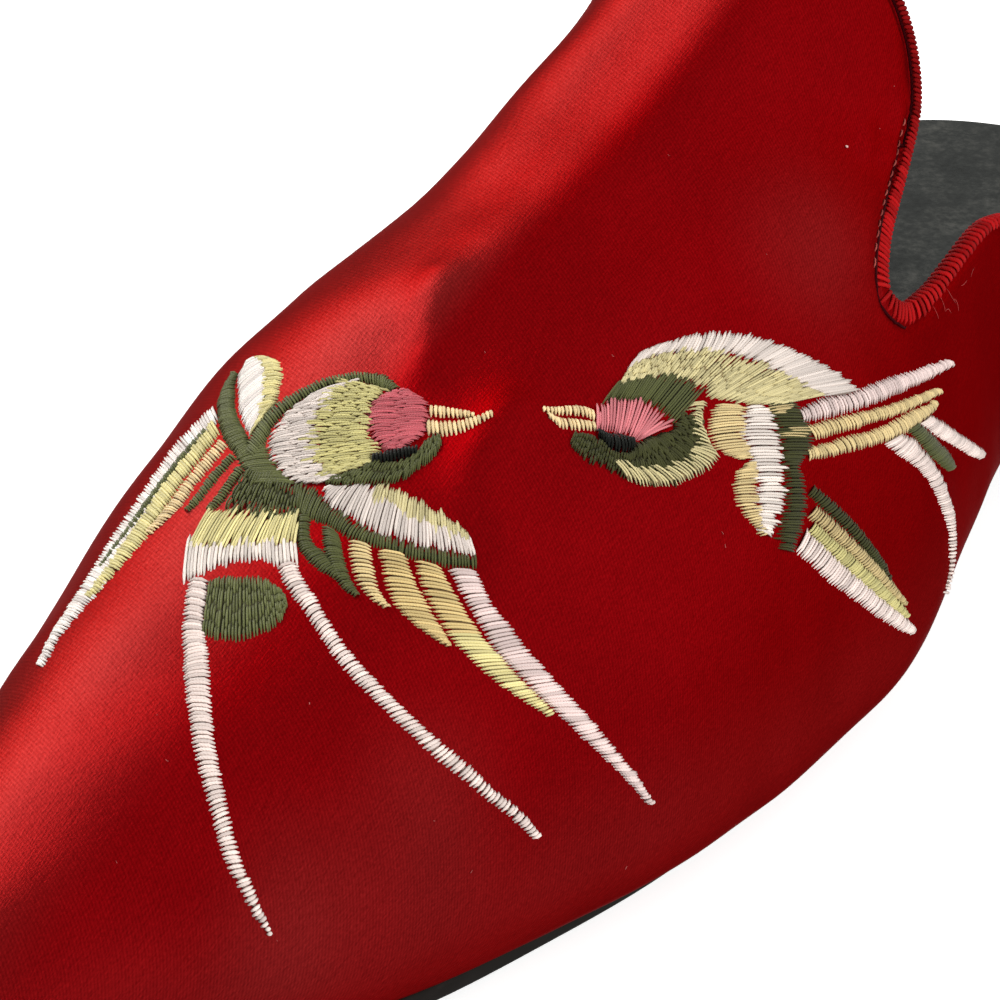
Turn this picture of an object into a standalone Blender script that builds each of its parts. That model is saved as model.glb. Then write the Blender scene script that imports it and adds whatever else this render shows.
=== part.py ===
"""Left shoe: a flat, backless, pointed-toe mule with a tall tongue and a notch on each side.

Metres, +Z up, floor at Z = 0. The toe points along -Y and the outer side of the foot is +X.
Every piece is worked out from one last: its sections are listed from the back of the heel
(station 0) to the tip of the toe (station 1).
"""
from collections import namedtuple

import bpy
import numpy as np

# Driving sizes of the last
LENGTH = 0.262            # back of heel to tip of toe
HALF_BALL = 0.0417        # half the widest measure across the upper, at the ball
INSTEP_RISE = 0.080       # the crest heights above the feather line are shares of this
HEEL_HEIGHT = 0.009       # how far the heel seat of the sole is lifted

# Thicknesses and clearances
OUTSOLE_THICKNESS = 0.0022
INSOLE_THICKNESS = 0.0025
WALL = 0.0017             # satin, backing and lining together
GAP = 0.0003              # clearance between pieces that meet on a curve
INSOLE_CLEARANCE = 0.0008
EDGE_BEAD = 0.0016        # width of the thickened edge round the opening
EDGE_RAISE = 0.0004       # how far that edge stands above the wall
FULL_BEAD_REACH = 0.008   # where the wall is shorter than this, at the corners, the bead fades out
SOLE_PROUD = 0.0003       # sole edge beyond the feather line
INSOLE_ROUND = 0.0008     # bevel round the top of the insole

# Section shape
FULLNESS = 0.84           # below 1 makes the sides of a section steeper than an ellipse
TUCK = 0.0070             # deepest turn of the upper in under itself
TUCK_HEIGHT = 0.008       # height over which it turns in, round like a quarter of an ellipse
TUCK_LIMIT = 0.45         # largest share of the half width that may turn in

# Inside of the toe: the hollow narrows from one station and closes at the other
HOLLOW_NARROWS = 0.870
HOLLOW_ENDS = 0.965

# Stations of the other pieces
HEEL_BREAST = 0.195       # front face of the heel block
BARE_INSOLE_END = 0.190   # behind this the insole runs out to the edge of the sole
COVERED_INSOLE = 0.238    # in front of this it stays inside the upper
INSOLE_FRONT = 0.935
INSOLE_ANGLE = 0.16       # how far up the wall the covered insole keeps clear, as an angle of the last
HEEL_INSET = 0.0005
HEEL_TAPER = 0.0012

# Shares: station of LENGTH, sides of HALF_BALL, crest of INSTEP_RISE,
# lift of HEEL_HEIGHT and tuck of TUCK
Section = namedtuple("Section", "station outer inner crest_side crest lift tuck")
SECTIONS = (
    Section(0.000, -0.007, -0.007, -0.107, 0.606, 1.000, 0.00),
    Section(0.015, 0.353, -0.377, -0.107, 0.630, 1.000, 0.10),
    Section(0.053, 0.583, -0.602, -0.107, 0.680, 1.000, 0.17),
    Section(0.115, 0.693, -0.702, -0.107, 0.760, 0.980, 0.26),
    Section(0.210, 0.743, -0.682, -0.102, 0.885, 0.870, 0.34),
    Section(0.325, 0.793, -0.567, -0.097, 0.972, 0.510, 0.47),
    Section(0.420, 0.893, -0.629, -0.113, 0.844, 0.180, 0.62),
    Section(0.515, 0.991, -0.762, -0.159, 0.727, 0.020, 0.86),
    Section(0.590, 0.975, -0.955, -0.177, 0.646, 0.000, 0.94),
    Section(0.670, 0.902, -0.995, -0.202, 0.548, 0.000, 1.00),
    Section(0.745, 0.738, -0.917, -0.232, 0.448, 0.055, 0.76),
    Section(0.820, 0.546, -0.798, -0.257, 0.353, 0.190, 0.51),
    Section(0.895, 0.231, -0.632, -0.272, 0.253, 0.410, 0.34),
    Section(0.955, 0.008, -0.472, -0.272, 0.162, 0.610, 0.26),
    Section(0.985, -0.127, -0.392, -0.267, 0.092, 0.720, 0.13),
    Section(1.000, -0.267, -0.267, -0.267, 0.000, 0.780, 0.00),
)

# The opening, from the back corner of a wing to the tip of the tongue. station and rise place
# the edge (rise 0 is the feather line, 1 the crest). foot and foot_rise are where a line drawn
# down the upper from that place ends, and swing bends the line (0 straight, 1 level first).
Edge = namedtuple("Edge", "station rise foot foot_rise swing")
OUTER_EDGE = (
    Edge(0.244, 0.000, 0.244, 0.00, 0.0),
    Edge(0.252, 0.080, 0.275, 0.00, 0.0),
    Edge(0.271, 0.180, 0.313, 0.00, 0.0),
    Edge(0.302, 0.255, 0.359, 0.00, 0.0),
    Edge(0.338, 0.299, 0.397, 0.00, 0.0),
    Edge(0.388, 0.347, 0.435, 0.00, 0.0),
    Edge(0.436, 0.397, 0.473, 0.00, 0.0),
    Edge(0.450, 0.422, 0.500, 0.00, 0.1),
    Edge(0.456, 0.454, 0.527, 0.00, 0.2),
    Edge(0.453, 0.467, 0.557, 0.00, 0.5),
    Edge(0.440, 0.488, 0.611, 0.00, 0.8),
    Edge(0.410, 0.507, 0.695, 0.00, 0.9),
    Edge(0.381, 0.526, 0.782, 0.00, 0.9),
    Edge(0.364, 0.582, 0.863, 0.00, 0.9),
    Edge(0.358, 0.650, 0.935, 0.00, 0.9),
    Edge(0.357, 0.740, 1.000, 0.00, 0.9),
    Edge(0.356, 0.870, 1.000, 0.50, 0.9),
    Edge(0.356, 1.000, 1.000, 1.00, 0.9),
)
INNER_EDGE = (
    Edge(0.244, 0.000, 0.244, 0.00, 0.0),
    Edge(0.252, 0.080, 0.275, 0.00, 0.0),
    Edge(0.271, 0.180, 0.313, 0.00, 0.0),
    Edge(0.302, 0.260, 0.359, 0.00, 0.0),
    Edge(0.344, 0.310, 0.397, 0.00, 0.0),
    Edge(0.393, 0.370, 0.440, 0.00, 0.0),
    Edge(0.435, 0.430, 0.482, 0.00, 0.0),
    Edge(0.462, 0.475, 0.515, 0.00, 0.1),
    Edge(0.477, 0.510, 0.545, 0.00, 0.2),
    Edge(0.477, 0.545, 0.580, 0.00, 0.5),
    Edge(0.458, 0.575, 0.634, 0.00, 0.8),
    Edge(0.424, 0.600, 0.710, 0.00, 0.9),
    Edge(0.393, 0.620, 0.790, 0.00, 0.9),
    Edge(0.374, 0.660, 0.865, 0.00, 0.9),
    Edge(0.365, 0.720, 0.935, 0.00, 0.9),
    Edge(0.360, 0.790, 1.000, 0.00, 0.9),
    Edge(0.357, 0.890, 1.000, 0.50, 0.9),
    Edge(0.356, 1.000, 1.000, 1.00, 0.9),
)

# Mesh resolution
STEPS_PER_EDGE_ROW = 3
WALL_ROWS = 18
SOLE_STATIONS = 44
ACROSS = 6

# Plain colours (linear RGB)
RED_SATIN = (0.300, 0.006, 0.010, 1.0)
BLACK_LEATHER = (0.030, 0.030, 0.029, 1.0)
BLACK_SOLE = (0.012, 0.011, 0.010, 1.0)


def column(rows, name):
    return np.array([getattr(row, name) for row in rows])


def smooth(knots, values, at):
    """Cubic through the knots that never swings past them."""
    steps = np.diff(knots)
    slopes = np.diff(values) / steps
    tangents = np.concatenate([slopes[:1], np.zeros(len(knots) - 2), slopes[-1:]])
    for index in range(1, len(knots) - 1):
        before = slopes[index - 1]
        after = slopes[index]
        if before * after > 0.0:
            weight_before = 2.0 * steps[index] + steps[index - 1]
            weight_after = steps[index] + 2.0 * steps[index - 1]
            tangents[index] = (weight_before + weight_after) / (weight_before / before + weight_after / after)
    at = np.asarray(at, dtype=float)
    cell = np.clip(np.searchsorted(knots, at) - 1, 0, len(steps) - 1)
    part = (at - knots[cell]) / steps[cell]
    square = part * part
    cube = square * part
    return (
        (2.0 * cube - 3.0 * square + 1.0) * values[cell]
        + (cube - 2.0 * square + part) * steps[cell] * tangents[cell]
        + (3.0 * square - 2.0 * cube) * values[cell + 1]
        + (cube - square) * steps[cell] * tangents[cell + 1]
    )


def round_ended(station):
    """Spread the stations so that the heel and the toe come out round, not sharp."""
    return np.arccos(1.0 - 2.0 * np.clip(station, 0.0, 1.0))


SECTION_KNOTS = round_ended(column(SECTIONS, "station"))


def section_value(name, station):
    return smooth(SECTION_KNOTS, column(SECTIONS, name), round_ended(station))


def feather_height(station):
    return OUTSOLE_THICKNESS + GAP + HEEL_HEIGHT * section_value("lift", station)


def last_point(station, angle):
    """A point on the last; angle 0 is the outer feather line, pi the inner one."""
    station, angle = np.broadcast_arrays(np.asarray(station, float), np.asarray(angle, float))
    crest_side = HALF_BALL * section_value("crest_side", station)
    outer_width = HALF_BALL * section_value("outer", station) - crest_side
    inner_width = crest_side - HALF_BALL * section_value("inner", station)
    level = np.cos(angle)
    above = INSTEP_RISE * section_value("crest", station) * np.abs(np.sin(angle))
    width = np.where(level >= 0.0, outer_width, inner_width)
    below = np.clip(1.0 - above / TUCK_HEIGHT, 0.0, 1.0)
    turn = 1.0 - np.sqrt(1.0 - below * below)
    tuck = np.minimum(TUCK * section_value("tuck", station) * turn, TUCK_LIMIT * width)
    reach = (width - tuck) * np.abs(level) ** FULLNESS
    return np.stack(
        [
            crest_side + np.sign(level) * reach,
            LENGTH * (0.5 - station),
            feather_height(station) + above,
        ],
        axis=-1,
    )


def last_normal(station, angle):
    """Outward normal of the last."""
    step_along = 0.002
    step_round = 0.01
    near = np.clip(station, 0.01, 0.993)
    along = last_point(near + step_along, angle) - last_point(near - step_along, angle)
    low = np.clip(angle - step_round, 0.0, np.pi)
    high = np.clip(angle + step_round, 0.0, np.pi)
    around = last_point(near, high) - last_point(near, low)
    normal = np.cross(around, along)
    return normal / np.linalg.norm(normal, axis=-1, keepdims=True)


def hollow_station(station):
    """Station inside the upper that lies behind a station of its outer face."""
    front = np.clip((station - HOLLOW_NARROWS) / (1.0 - HOLLOW_NARROWS), 0.0, 1.0)
    moved = HOLLOW_NARROWS + front * (HOLLOW_ENDS - HOLLOW_NARROWS)
    return np.where(station > HOLLOW_NARROWS, moved, station)


def hollow_share(inside):
    """How much of the section is still hollow towards the toe."""
    front = np.clip((inside - HOLLOW_NARROWS) / (HOLLOW_ENDS - HOLLOW_NARROWS), 0.0, 1.0)
    return np.sqrt(np.maximum(1.0 - front * front, 0.0))


def hollow_wall(inside, angle):
    """The inner face of the upper's wall at a station of the hollow, never lower than the feather line."""
    wall = last_point(inside, angle) - WALL * last_normal(inside, angle)
    wall[..., 2] = np.maximum(wall[..., 2], feather_height(inside))
    middle = np.stack(
        [
            HALF_BALL * section_value("crest_side", inside),
            LENGTH * (0.5 - inside),
            feather_height(inside),
        ],
        axis=-1,
    )
    return middle + (wall - middle) * hollow_share(inside)[..., None]


def edge_lines(rows):
    """The edge table filled in between its rows, evenly within each."""
    places = np.stack([LENGTH * column(rows, "station"), INSTEP_RISE * column(rows, "rise")], axis=-1)
    spans = np.linalg.norm(np.diff(places, axis=0), axis=-1)
    knots = np.concatenate([[0.0], np.cumsum(spans)])
    count = (len(rows) - 1) * STEPS_PER_EDGE_ROW + 1
    at = np.interp(np.arange(count) / STEPS_PER_EDGE_ROW, np.arange(len(rows)), knots)
    return {name: smooth(knots, column(rows, name), at) for name in Edge._fields}


def upper_lines():
    """Both halves of the opening in one run, from the outer wing round to the inner wing."""
    outer = edge_lines(OUTER_EDGE)
    inner = edge_lines(INNER_EDGE)
    lines = {}
    for name in ("station", "foot", "swing"):
        lines[name] = np.concatenate([outer[name], inner[name][-2::-1]])
    for name in ("rise", "foot_rise"):
        lines[name] = np.concatenate([outer[name], 2.0 - inner[name][-2::-1]])
    return lines


def upper_places():
    """Station and angle of every point of the upper, a row of points for each line."""
    lines = upper_lines()
    bend_station = lines["station"] + 0.55 * (lines["foot"] - lines["station"])
    halfway = 0.5 * (lines["rise"] + lines["foot_rise"])
    bend_rise = halfway + lines["swing"] * (lines["rise"] - halfway)
    reach = LENGTH * np.abs(lines["foot"] - lines["station"])
    reach = reach + INSTEP_RISE * np.abs(lines["rise"] - lines["foot_rise"])
    bead = np.minimum(EDGE_BEAD / np.maximum(reach, 1e-6), 0.06)
    even = np.linspace(0.0, 1.0, WALL_ROWS)
    body = 1.0 - (1.0 - even) ** 1.8
    shares = [np.zeros_like(bead), bead]
    for place in body:
        shares.append(1.35 * bead + (1.0 - 1.35 * bead) * place)
    share = np.stack(shares, axis=-1)
    first = (1.0 - share) ** 2
    second = 2.0 * share * (1.0 - share)
    third = share * share
    station = (
        first * lines["station"][:, None]
        + second * bend_station[:, None]
        + third * lines["foot"][:, None]
    )
    rise = first * lines["rise"][:, None] + second * bend_rise[:, None] + third * lines["foot_rise"][:, None]
    raised = np.zeros_like(share)
    raised[:, :2] = EDGE_RAISE * np.minimum(reach / FULL_BEAD_REACH, 1.0)[:, None]
    return station, rise * np.pi / 2.0, raised


def add_object(name, points, faces, colour, roughness):
    """One closed object: points in the same place become one and collapsed faces go."""
    seen = {}
    kept = []
    number = []
    for point in points:
        key = tuple(np.round(point, 7))
        if key not in seen:
            seen[key] = len(kept)
            kept.append(tuple(float(value) for value in point))
        number.append(seen[key])
    clean = []
    for face in faces:
        corners = []
        for corner in face:
            if number[corner] not in corners:
                corners.append(number[corner])
        if len(corners) > 2:
            clean.append(corners)
    mesh = bpy.data.meshes.new(name)
    mesh.from_pydata(kept, [], clean)
    mesh.validate()
    material = bpy.data.materials.new(name + "_material")
    material.use_nodes = True
    shader = material.node_tree.nodes["Principled BSDF"]
    shader.inputs["Base Color"].default_value = colour
    shader.inputs["Roughness"].default_value = roughness
    mesh.materials.append(material)
    created = bpy.data.objects.new(name, mesh)
    bpy.context.scene.collection.objects.link(created)
    return created


def make_upper():
    station, angle, raised = upper_places()
    outside = last_point(station, angle) + raised[..., None] * last_normal(station, angle)
    inside = hollow_wall(hollow_station(station), angle)
    lines, rows = station.shape
    points = np.concatenate([outside.reshape(-1, 3), inside.reshape(-1, 3)])
    shift = lines * rows
    faces = []
    for line in range(lines - 1):
        for row in range(rows - 1):
            here = line * rows + row
            across = here + rows
            faces.append((here, across, across + 1, here + 1))
            faces.append((here + shift, here + 1 + shift, across + 1 + shift, across + shift))
        top = line * rows
        foot = top + rows - 1
        faces.append((top + rows, top, top + shift, top + rows + shift))
        faces.append((foot, foot + rows, foot + rows + shift, foot + shift))
    return add_object("upper", points, faces, RED_SATIN, 0.42)


def feather_sides(station):
    """Outer and inner X of the feather line."""
    outer = last_point(station, np.zeros_like(station))[..., 0]
    inner = last_point(station, np.full_like(station, np.pi))[..., 0]
    return outer, inner


def make_slab(name, station, rings, colour, roughness):
    """A closed slab from rings of (outer X, inner X, Z) listed from its top face to its bottom face."""
    across = np.linspace(0.0, 1.0, ACROSS + 1)
    forward = LENGTH * (0.5 - station)
    points = []
    faces = []

    def add_grid(side_a, side_b, height, upward):
        start = len(points)
        for index in range(len(station)):
            for share in across:
                x = side_a[index] + share * (side_b[index] - side_a[index])
                points.append((x, forward[index], height[index]))
        width = ACROSS + 1
        for index in range(len(station) - 1):
            for cell in range(ACROSS):
                here = start + index * width + cell
                face = (here, here + 1, here + 1 + width, here + width)
                faces.append(face if upward else face[::-1])

    def add_band(upper_ring, lower_ring):
        for side, ahead in ((0, True), (1, False)):
            start = len(points)
            for index in range(len(station)):
                points.append((upper_ring[side][index], forward[index], upper_ring[2][index]))
                points.append((lower_ring[side][index], forward[index], lower_ring[2][index]))
            for index in range(len(station) - 1):
                here = start + 2 * index
                face = (here, here + 2, here + 3, here + 1)
                faces.append(face if ahead else face[::-1])
        for index, front in ((0, False), (len(station) - 1, True)):
            start = len(points)
            for share in across:
                for ring in (upper_ring, lower_ring):
                    x = ring[0][index] + share * (ring[1][index] - ring[0][index])
                    points.append((x, forward[index], ring[2][index]))
            for cell in range(ACROSS):
                here = start + 2 * cell
                face = (here, here + 1, here + 3, here + 2)
                faces.append(face[::-1] if front else face)

    add_grid(*rings[0], True)
    for upper_ring, lower_ring in zip(rings[:-1], rings[1:]):
        add_band(upper_ring, lower_ring)
    add_grid(*rings[-1], False)
    return add_object(name, np.array(points), faces, colour, roughness)


def sole_stations(first, last, count):
    """Stations set closer together towards both ends."""
    spread = np.linspace(round_ended(first), round_ended(last), count)
    return 0.5 * (1.0 - np.cos(spread))


def spread_ring(station, outward, height):
    """A ring moved out from the feather line, closing to a point where the last does."""
    outer, inner = feather_sides(station)
    middle = 0.5 * (outer + inner)
    half = 0.5 * (outer - inner)
    wider = np.where(half > 1e-5, np.maximum(half + outward, 0.0), half)
    return middle + wider, middle - wider, height


def make_outsole():
    station = sole_stations(0.0, 1.0, SOLE_STATIONS)
    top = feather_height(station) - GAP
    rings = (
        spread_ring(station, SOLE_PROUD, top),
        spread_ring(station, SOLE_PROUD, top - OUTSOLE_THICKNESS),
    )
    return make_slab("outsole", station, rings, BLACK_SOLE, 0.55)


def make_insole():
    station = sole_stations(0.0, INSOLE_FRONT, SOLE_STATIONS)
    outer, inner = feather_sides(station)
    low = np.linspace(0.0, INSOLE_ANGLE, 12)
    covered_outer = hollow_wall(station[:, None], low)[..., 0].min(axis=1) - INSOLE_CLEARANCE
    covered_inner = hollow_wall(station[:, None], np.pi - low)[..., 0].max(axis=1) + INSOLE_CLEARANCE
    blend = np.clip((station - BARE_INSOLE_END) / (COVERED_INSOLE - BARE_INSOLE_END), 0.0, 1.0)
    bottom = feather_height(station)
    sides = (outer + blend * (covered_outer - outer), inner + blend * (covered_inner - inner))
    middle = 0.5 * (sides[0] + sides[1])
    half = 0.5 * (sides[0] - sides[1])
    top_half = np.maximum(half - INSOLE_ROUND, 0.6 * half)
    rings = (
        (middle + top_half, middle - top_half, bottom + INSOLE_THICKNESS),
        (sides[0], sides[1], bottom + INSOLE_THICKNESS - INSOLE_ROUND),
        (sides[0], sides[1], bottom),
    )
    return make_slab("insole", station, rings, BLACK_LEATHER, 0.5)


def make_heel():
    station = sole_stations(0.0, HEEL_BREAST, SOLE_STATIONS // 2)
    top = feather_height(station) - GAP - OUTSOLE_THICKNESS - GAP
    rings = (
        spread_ring(station, -HEEL_INSET, top),
        spread_ring(station, -HEEL_INSET - HEEL_TAPER, np.zeros_like(station)),
    )
    return make_slab("heel", station, rings, BLACK_SOLE, 0.6)


def main():
    for existing in list(bpy.data.objects):
        bpy.data.objects.remove(existing, do_unlink=True)
    make_outsole()
    make_heel()
    make_insole()
    make_upper()


main()
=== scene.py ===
"""Looks of the left satin mule: satin with its folds, overcast edge, embroidery, footbed and sole.

Metres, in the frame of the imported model: toe along -Y, outer side of the foot +X, floor at Z = 0.
"""
from collections import namedtuple

import bpy
import numpy as np
from mathutils import Matrix, Vector
from mathutils.bvhtree import BVHTree
from mathutils.kdtree import KDTree


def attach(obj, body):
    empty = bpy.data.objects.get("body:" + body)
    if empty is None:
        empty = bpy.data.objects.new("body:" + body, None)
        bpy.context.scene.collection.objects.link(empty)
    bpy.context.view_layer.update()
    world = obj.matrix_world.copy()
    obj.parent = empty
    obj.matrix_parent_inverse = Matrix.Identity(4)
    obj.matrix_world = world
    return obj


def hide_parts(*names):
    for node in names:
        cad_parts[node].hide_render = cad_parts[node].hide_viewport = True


# The last, with the same sizes and tables as the solids
LENGTH = 0.262
HALF_BALL = 0.0417
INSTEP_RISE = 0.080
HEEL_HEIGHT = 0.009
OUTSOLE_THICKNESS = 0.0022
INSOLE_THICKNESS = 0.0025
WALL = 0.0017
GAP = 0.0003
INSOLE_CLEARANCE = 0.0008
SOLE_PROUD = 0.0003
FULLNESS = 0.84
TUCK = 0.0070
TUCK_HEIGHT = 0.008
TUCK_LIMIT = 0.45
HOLLOW_NARROWS = 0.870
HOLLOW_ENDS = 0.965
HEEL_BREAST = 0.195
BARE_INSOLE_END = 0.190
COVERED_INSOLE = 0.238
INSOLE_FRONT = 0.935
INSOLE_ANGLE = 0.16
HEEL_INSET = 0.0005
HEEL_TAPER = 0.0012
INSOLE_ROUND = 0.0008
SOLE_ROUND = 0.0005

Section = namedtuple("Section", "station outer inner crest_side crest lift tuck")
SECTIONS = [Section(*row) for row in (
    (0.000, -0.007, -0.007, -0.107, 0.606, 1.000, 0.00),
    (0.015, 0.353, -0.377, -0.107, 0.630, 1.000, 0.10),
    (0.053, 0.583, -0.602, -0.107, 0.680, 1.000, 0.17),
    (0.115, 0.693, -0.702, -0.107, 0.760, 0.980, 0.26),
    (0.210, 0.743, -0.682, -0.102, 0.885, 0.870, 0.34),
    (0.325, 0.793, -0.567, -0.097, 0.972, 0.510, 0.47),
    (0.420, 0.893, -0.629, -0.113, 0.844, 0.180, 0.62),
    (0.515, 0.991, -0.762, -0.159, 0.727, 0.020, 0.86),
    (0.590, 0.975, -0.955, -0.177, 0.646, 0.000, 0.94),
    (0.670, 0.902, -0.995, -0.202, 0.548, 0.000, 1.00),
    (0.745, 0.738, -0.917, -0.232, 0.448, 0.055, 0.76),
    (0.820, 0.546, -0.798, -0.257, 0.353, 0.190, 0.51),
    (0.895, 0.231, -0.632, -0.272, 0.253, 0.410, 0.34),
    (0.955, 0.008, -0.472, -0.272, 0.162, 0.610, 0.26),
    (0.985, -0.127, -0.392, -0.267, 0.092, 0.720, 0.13),
    (1.000, -0.267, -0.267, -0.267, 0.000, 0.780, 0.00),
)]

Edge = namedtuple("Edge", "station rise foot foot_rise swing")
OUTER_EDGE = [Edge(*row) for row in (
    (0.244, 0.000, 0.244, 0.00, 0.0),
    (0.252, 0.080, 0.275, 0.00, 0.0),
    (0.271, 0.180, 0.313, 0.00, 0.0),
    (0.302, 0.255, 0.359, 0.00, 0.0),
    (0.338, 0.299, 0.397, 0.00, 0.0),
    (0.388, 0.347, 0.435, 0.00, 0.0),
    (0.436, 0.397, 0.473, 0.00, 0.0),
    (0.450, 0.422, 0.500, 0.00, 0.1),
    (0.456, 0.454, 0.527, 0.00, 0.2),
    (0.453, 0.467, 0.557, 0.00, 0.5),
    (0.440, 0.488, 0.611, 0.00, 0.8),
    (0.410, 0.507, 0.695, 0.00, 0.9),
    (0.381, 0.526, 0.782, 0.00, 0.9),
    (0.364, 0.582, 0.863, 0.00, 0.9),
    (0.358, 0.650, 0.935, 0.00, 0.9),
    (0.357, 0.740, 1.000, 0.00, 0.9),
    (0.356, 0.870, 1.000, 0.50, 0.9),
    (0.356, 1.000, 1.000, 1.00, 0.9),
)]
INNER_EDGE = [Edge(*row) for row in (
    (0.244, 0.000, 0.244, 0.00, 0.0),
    (0.252, 0.080, 0.275, 0.00, 0.0),
    (0.271, 0.180, 0.313, 0.00, 0.0),
    (0.302, 0.260, 0.359, 0.00, 0.0),
    (0.344, 0.310, 0.397, 0.00, 0.0),
    (0.393, 0.370, 0.440, 0.00, 0.0),
    (0.435, 0.430, 0.482, 0.00, 0.0),
    (0.462, 0.475, 0.515, 0.00, 0.1),
    (0.477, 0.510, 0.545, 0.00, 0.2),
    (0.477, 0.545, 0.580, 0.00, 0.5),
    (0.458, 0.575, 0.634, 0.00, 0.8),
    (0.424, 0.600, 0.710, 0.00, 0.9),
    (0.393, 0.620, 0.790, 0.00, 0.9),
    (0.374, 0.660, 0.865, 0.00, 0.9),
    (0.365, 0.720, 0.935, 0.00, 0.9),
    (0.360, 0.790, 1.000, 0.00, 0.9),
    (0.357, 0.890, 1.000, 0.50, 0.9),
    (0.356, 1.000, 1.000, 1.00, 0.9),
)]

# Resolution of the dressed upper and slabs
STEPS_PER_EDGE_ROW = 12
EDGE_ROWS = 12            # rows packed into the first stretch below the opening
EDGE_STRETCH = 0.0032     # length of that stretch
EDGE_STRETCH_LIMIT = 0.25 # largest share of a line that it takes up
BODY_ROWS = 96
LINING_ROWS = 36
SLAB_STATIONS = 150
SLAB_ACROSS = 24
BODY_PACKING = 1.35       # above 1 packs the rows of the satin towards the sole
LINING_PACKING = 1.5      # the same for the lining
BEND_SHARE = 0.55         # where a line down the upper bends, as a share of its run along the shoe
NORMAL_STATIONS = (0.01, 0.993)  # normals are taken between these stations,
NORMAL_STEP_ALONG = 0.002 # over this step of station
NORMAL_STEP_ROUND = 0.01  # and this step of angle
SHARP_ANGLE = np.radians(50.0)  # slab edges that turn by more than this stay sharp
SOLE_TURNS = (90.0, 60.0, 30.0, 0.0)  # degrees of the rings that round an edge of the sole
INSOLE_TURNS = (90.0, 65.0, 40.0, 20.0, 0.0)
MAP_STATIONS = 160        # grid on which distances round the last are measured
MAP_ANGLES = 181
LINE_FILL = 6             # places in each span of a line that distances are taken from

# Camera, in the frame of the model; the photograph is a square of PHOTO_SIDE pixels
PHOTO_SIDE = 1000
CAMERA_AZIMUTH = 28.5
CAMERA_ELEVATION = 28.3
CAMERA_DISTANCE = 0.431
CAMERA_TARGET = (0.00607, -0.03626, 0.0350)
FOCAL_PIXELS = 4042.8
SENSOR = 36.0

# Studio: name, place, size, watts and colour of each soft light, and whether glossy cloth mirrors it
LIGHT_AIM = (0.0, -0.03, 0.03)
WORLD_STRENGTH = 0.39
FLOOR_GLOW = 0.56
FLOOR_HALF = 3.0
FLOOR_DROP = 0.0002       # how far the floor lies below the sole
LIGHTS = (
    ("window", (-0.76, 0.15, 0.61), 0.98, 6.3, (1.0, 0.98, 0.95), True),
    ("side", (0.60, 0.50, 0.66), 1.30, 1.1, (1.0, 0.99, 0.97), True),
    ("fill", (-0.80, -0.20, 0.60), 0.80, 4.5, (1.0, 0.98, 0.95), False),
    ("front", (0.86, -0.44, 0.34), 0.60, 10.0, (1.0, 0.99, 0.97), False),
)

# Soft folds of the satin: height above the last (below it where negative), half width and the
# places it runs through as (station, rise), rise 0 at the outer feather line and 1 at the crest
Fold = namedtuple("Fold", "height width path")
FOLDS = (
    Fold(0.0021, 0.0075, (
        (0.411, 0.842), (0.462, 0.873), (0.495, 0.888), (0.548, 0.924), (0.580, 0.965), (0.604, 0.985))),
    Fold(-0.0006, 0.0060, ((0.406, 0.783), (0.442, 0.808), (0.478, 0.830), (0.515, 0.852), (0.552, 0.879))),
    Fold(0.0008, 0.0012, ((0.420, 0.594), (0.410, 0.545))),
    Fold(0.0011, 0.0022, ((0.602, 0.990), (0.615, 0.980), (0.630, 0.962), (0.641, 0.946))),
    Fold(0.0010, 0.0030, ((0.645, 0.814), (0.661, 0.814), (0.676, 0.805), (0.686, 0.770), (0.696, 0.696))),
    Fold(0.0003, 0.0035, ((0.646, 0.647),)),
    Fold(0.0004, 0.0025, ((0.557, 0.872), (0.570, 0.830), (0.575, 0.779))),
    Fold(-0.0006, 0.0080, ((0.446, 0.707), (0.411, 0.583))),
    Fold(0.0008, 0.0080, ((0.544, 0.745), (0.503, 0.675), (0.454, 0.549))),
    Fold(-0.0008, 0.0070, ((0.583, 0.118), (0.631, 0.116))),
    Fold(-0.0009, 0.0065, ((0.545, 1.200), (0.571, 1.240))),
    Fold(0.0007, 0.0080, ((0.623, 1.410),)),
)

# Unevenness of cloth over its backing: height of a wave, its turns along X, Y and Z in radians for
# each metre, and where it starts
SLOW_WAVES = (
    (0.00010, (210.0, 90.0, 160.0), 0.3),
    (0.00008, (-140.0, 260.0, 120.0), 1.7),
    (0.00005, (330.0, -310.0, 90.0), 4.1),
    (0.00004, (120.0, 520.0, -260.0), 2.2),
)

# Surface colours (linear RGB), each after the shade that it belongs to
SATIN_DEEP = (
    (0.40, (0.205, 0.0014, 0.0028)), (0.57, (0.305, 0.0023, 0.0044)), (0.74, (0.430, 0.0040, 0.0066)))
# Pale colours of the satin: painted sheen of its highlight, dust near the floor and the paler places
SATIN_PAINTED_SHEEN_AND_DUST = (
    (0.40, (0.205, 0.0190, 0.0180)), (0.57, (0.310, 0.0300, 0.0280)), (0.74, (0.430, 0.0460, 0.0420)))
LINING_COLOURS = ((0.3, (0.008, 0.008, 0.008)), (0.7, (0.020, 0.019, 0.019)))
LEATHER_COLOURS = (
    (0.20, (0.016, 0.017, 0.016)), (0.34, (0.030, 0.032, 0.030)), (0.56, (0.075, 0.075, 0.068)))
SOLE_COLOURS = (
    (0.35, (0.006, 0.005, 0.004)), (0.60, (0.010, 0.008, 0.007)), (0.80, (0.028, 0.024, 0.020)))
WARP_ANGLE = np.radians(62.0)   # direction of the satin's warp on the flat cloth
TWILL_PITCH = 0.00038
TWIST_ANGLE = np.radians(32.0)  # slant of the twist of a thread
TWIST_PITCH = 0.00026
UNIT_WAVE_PITCH = 2.0 * np.pi / 20.0  # pitch of a wave texture of scale 1
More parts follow.
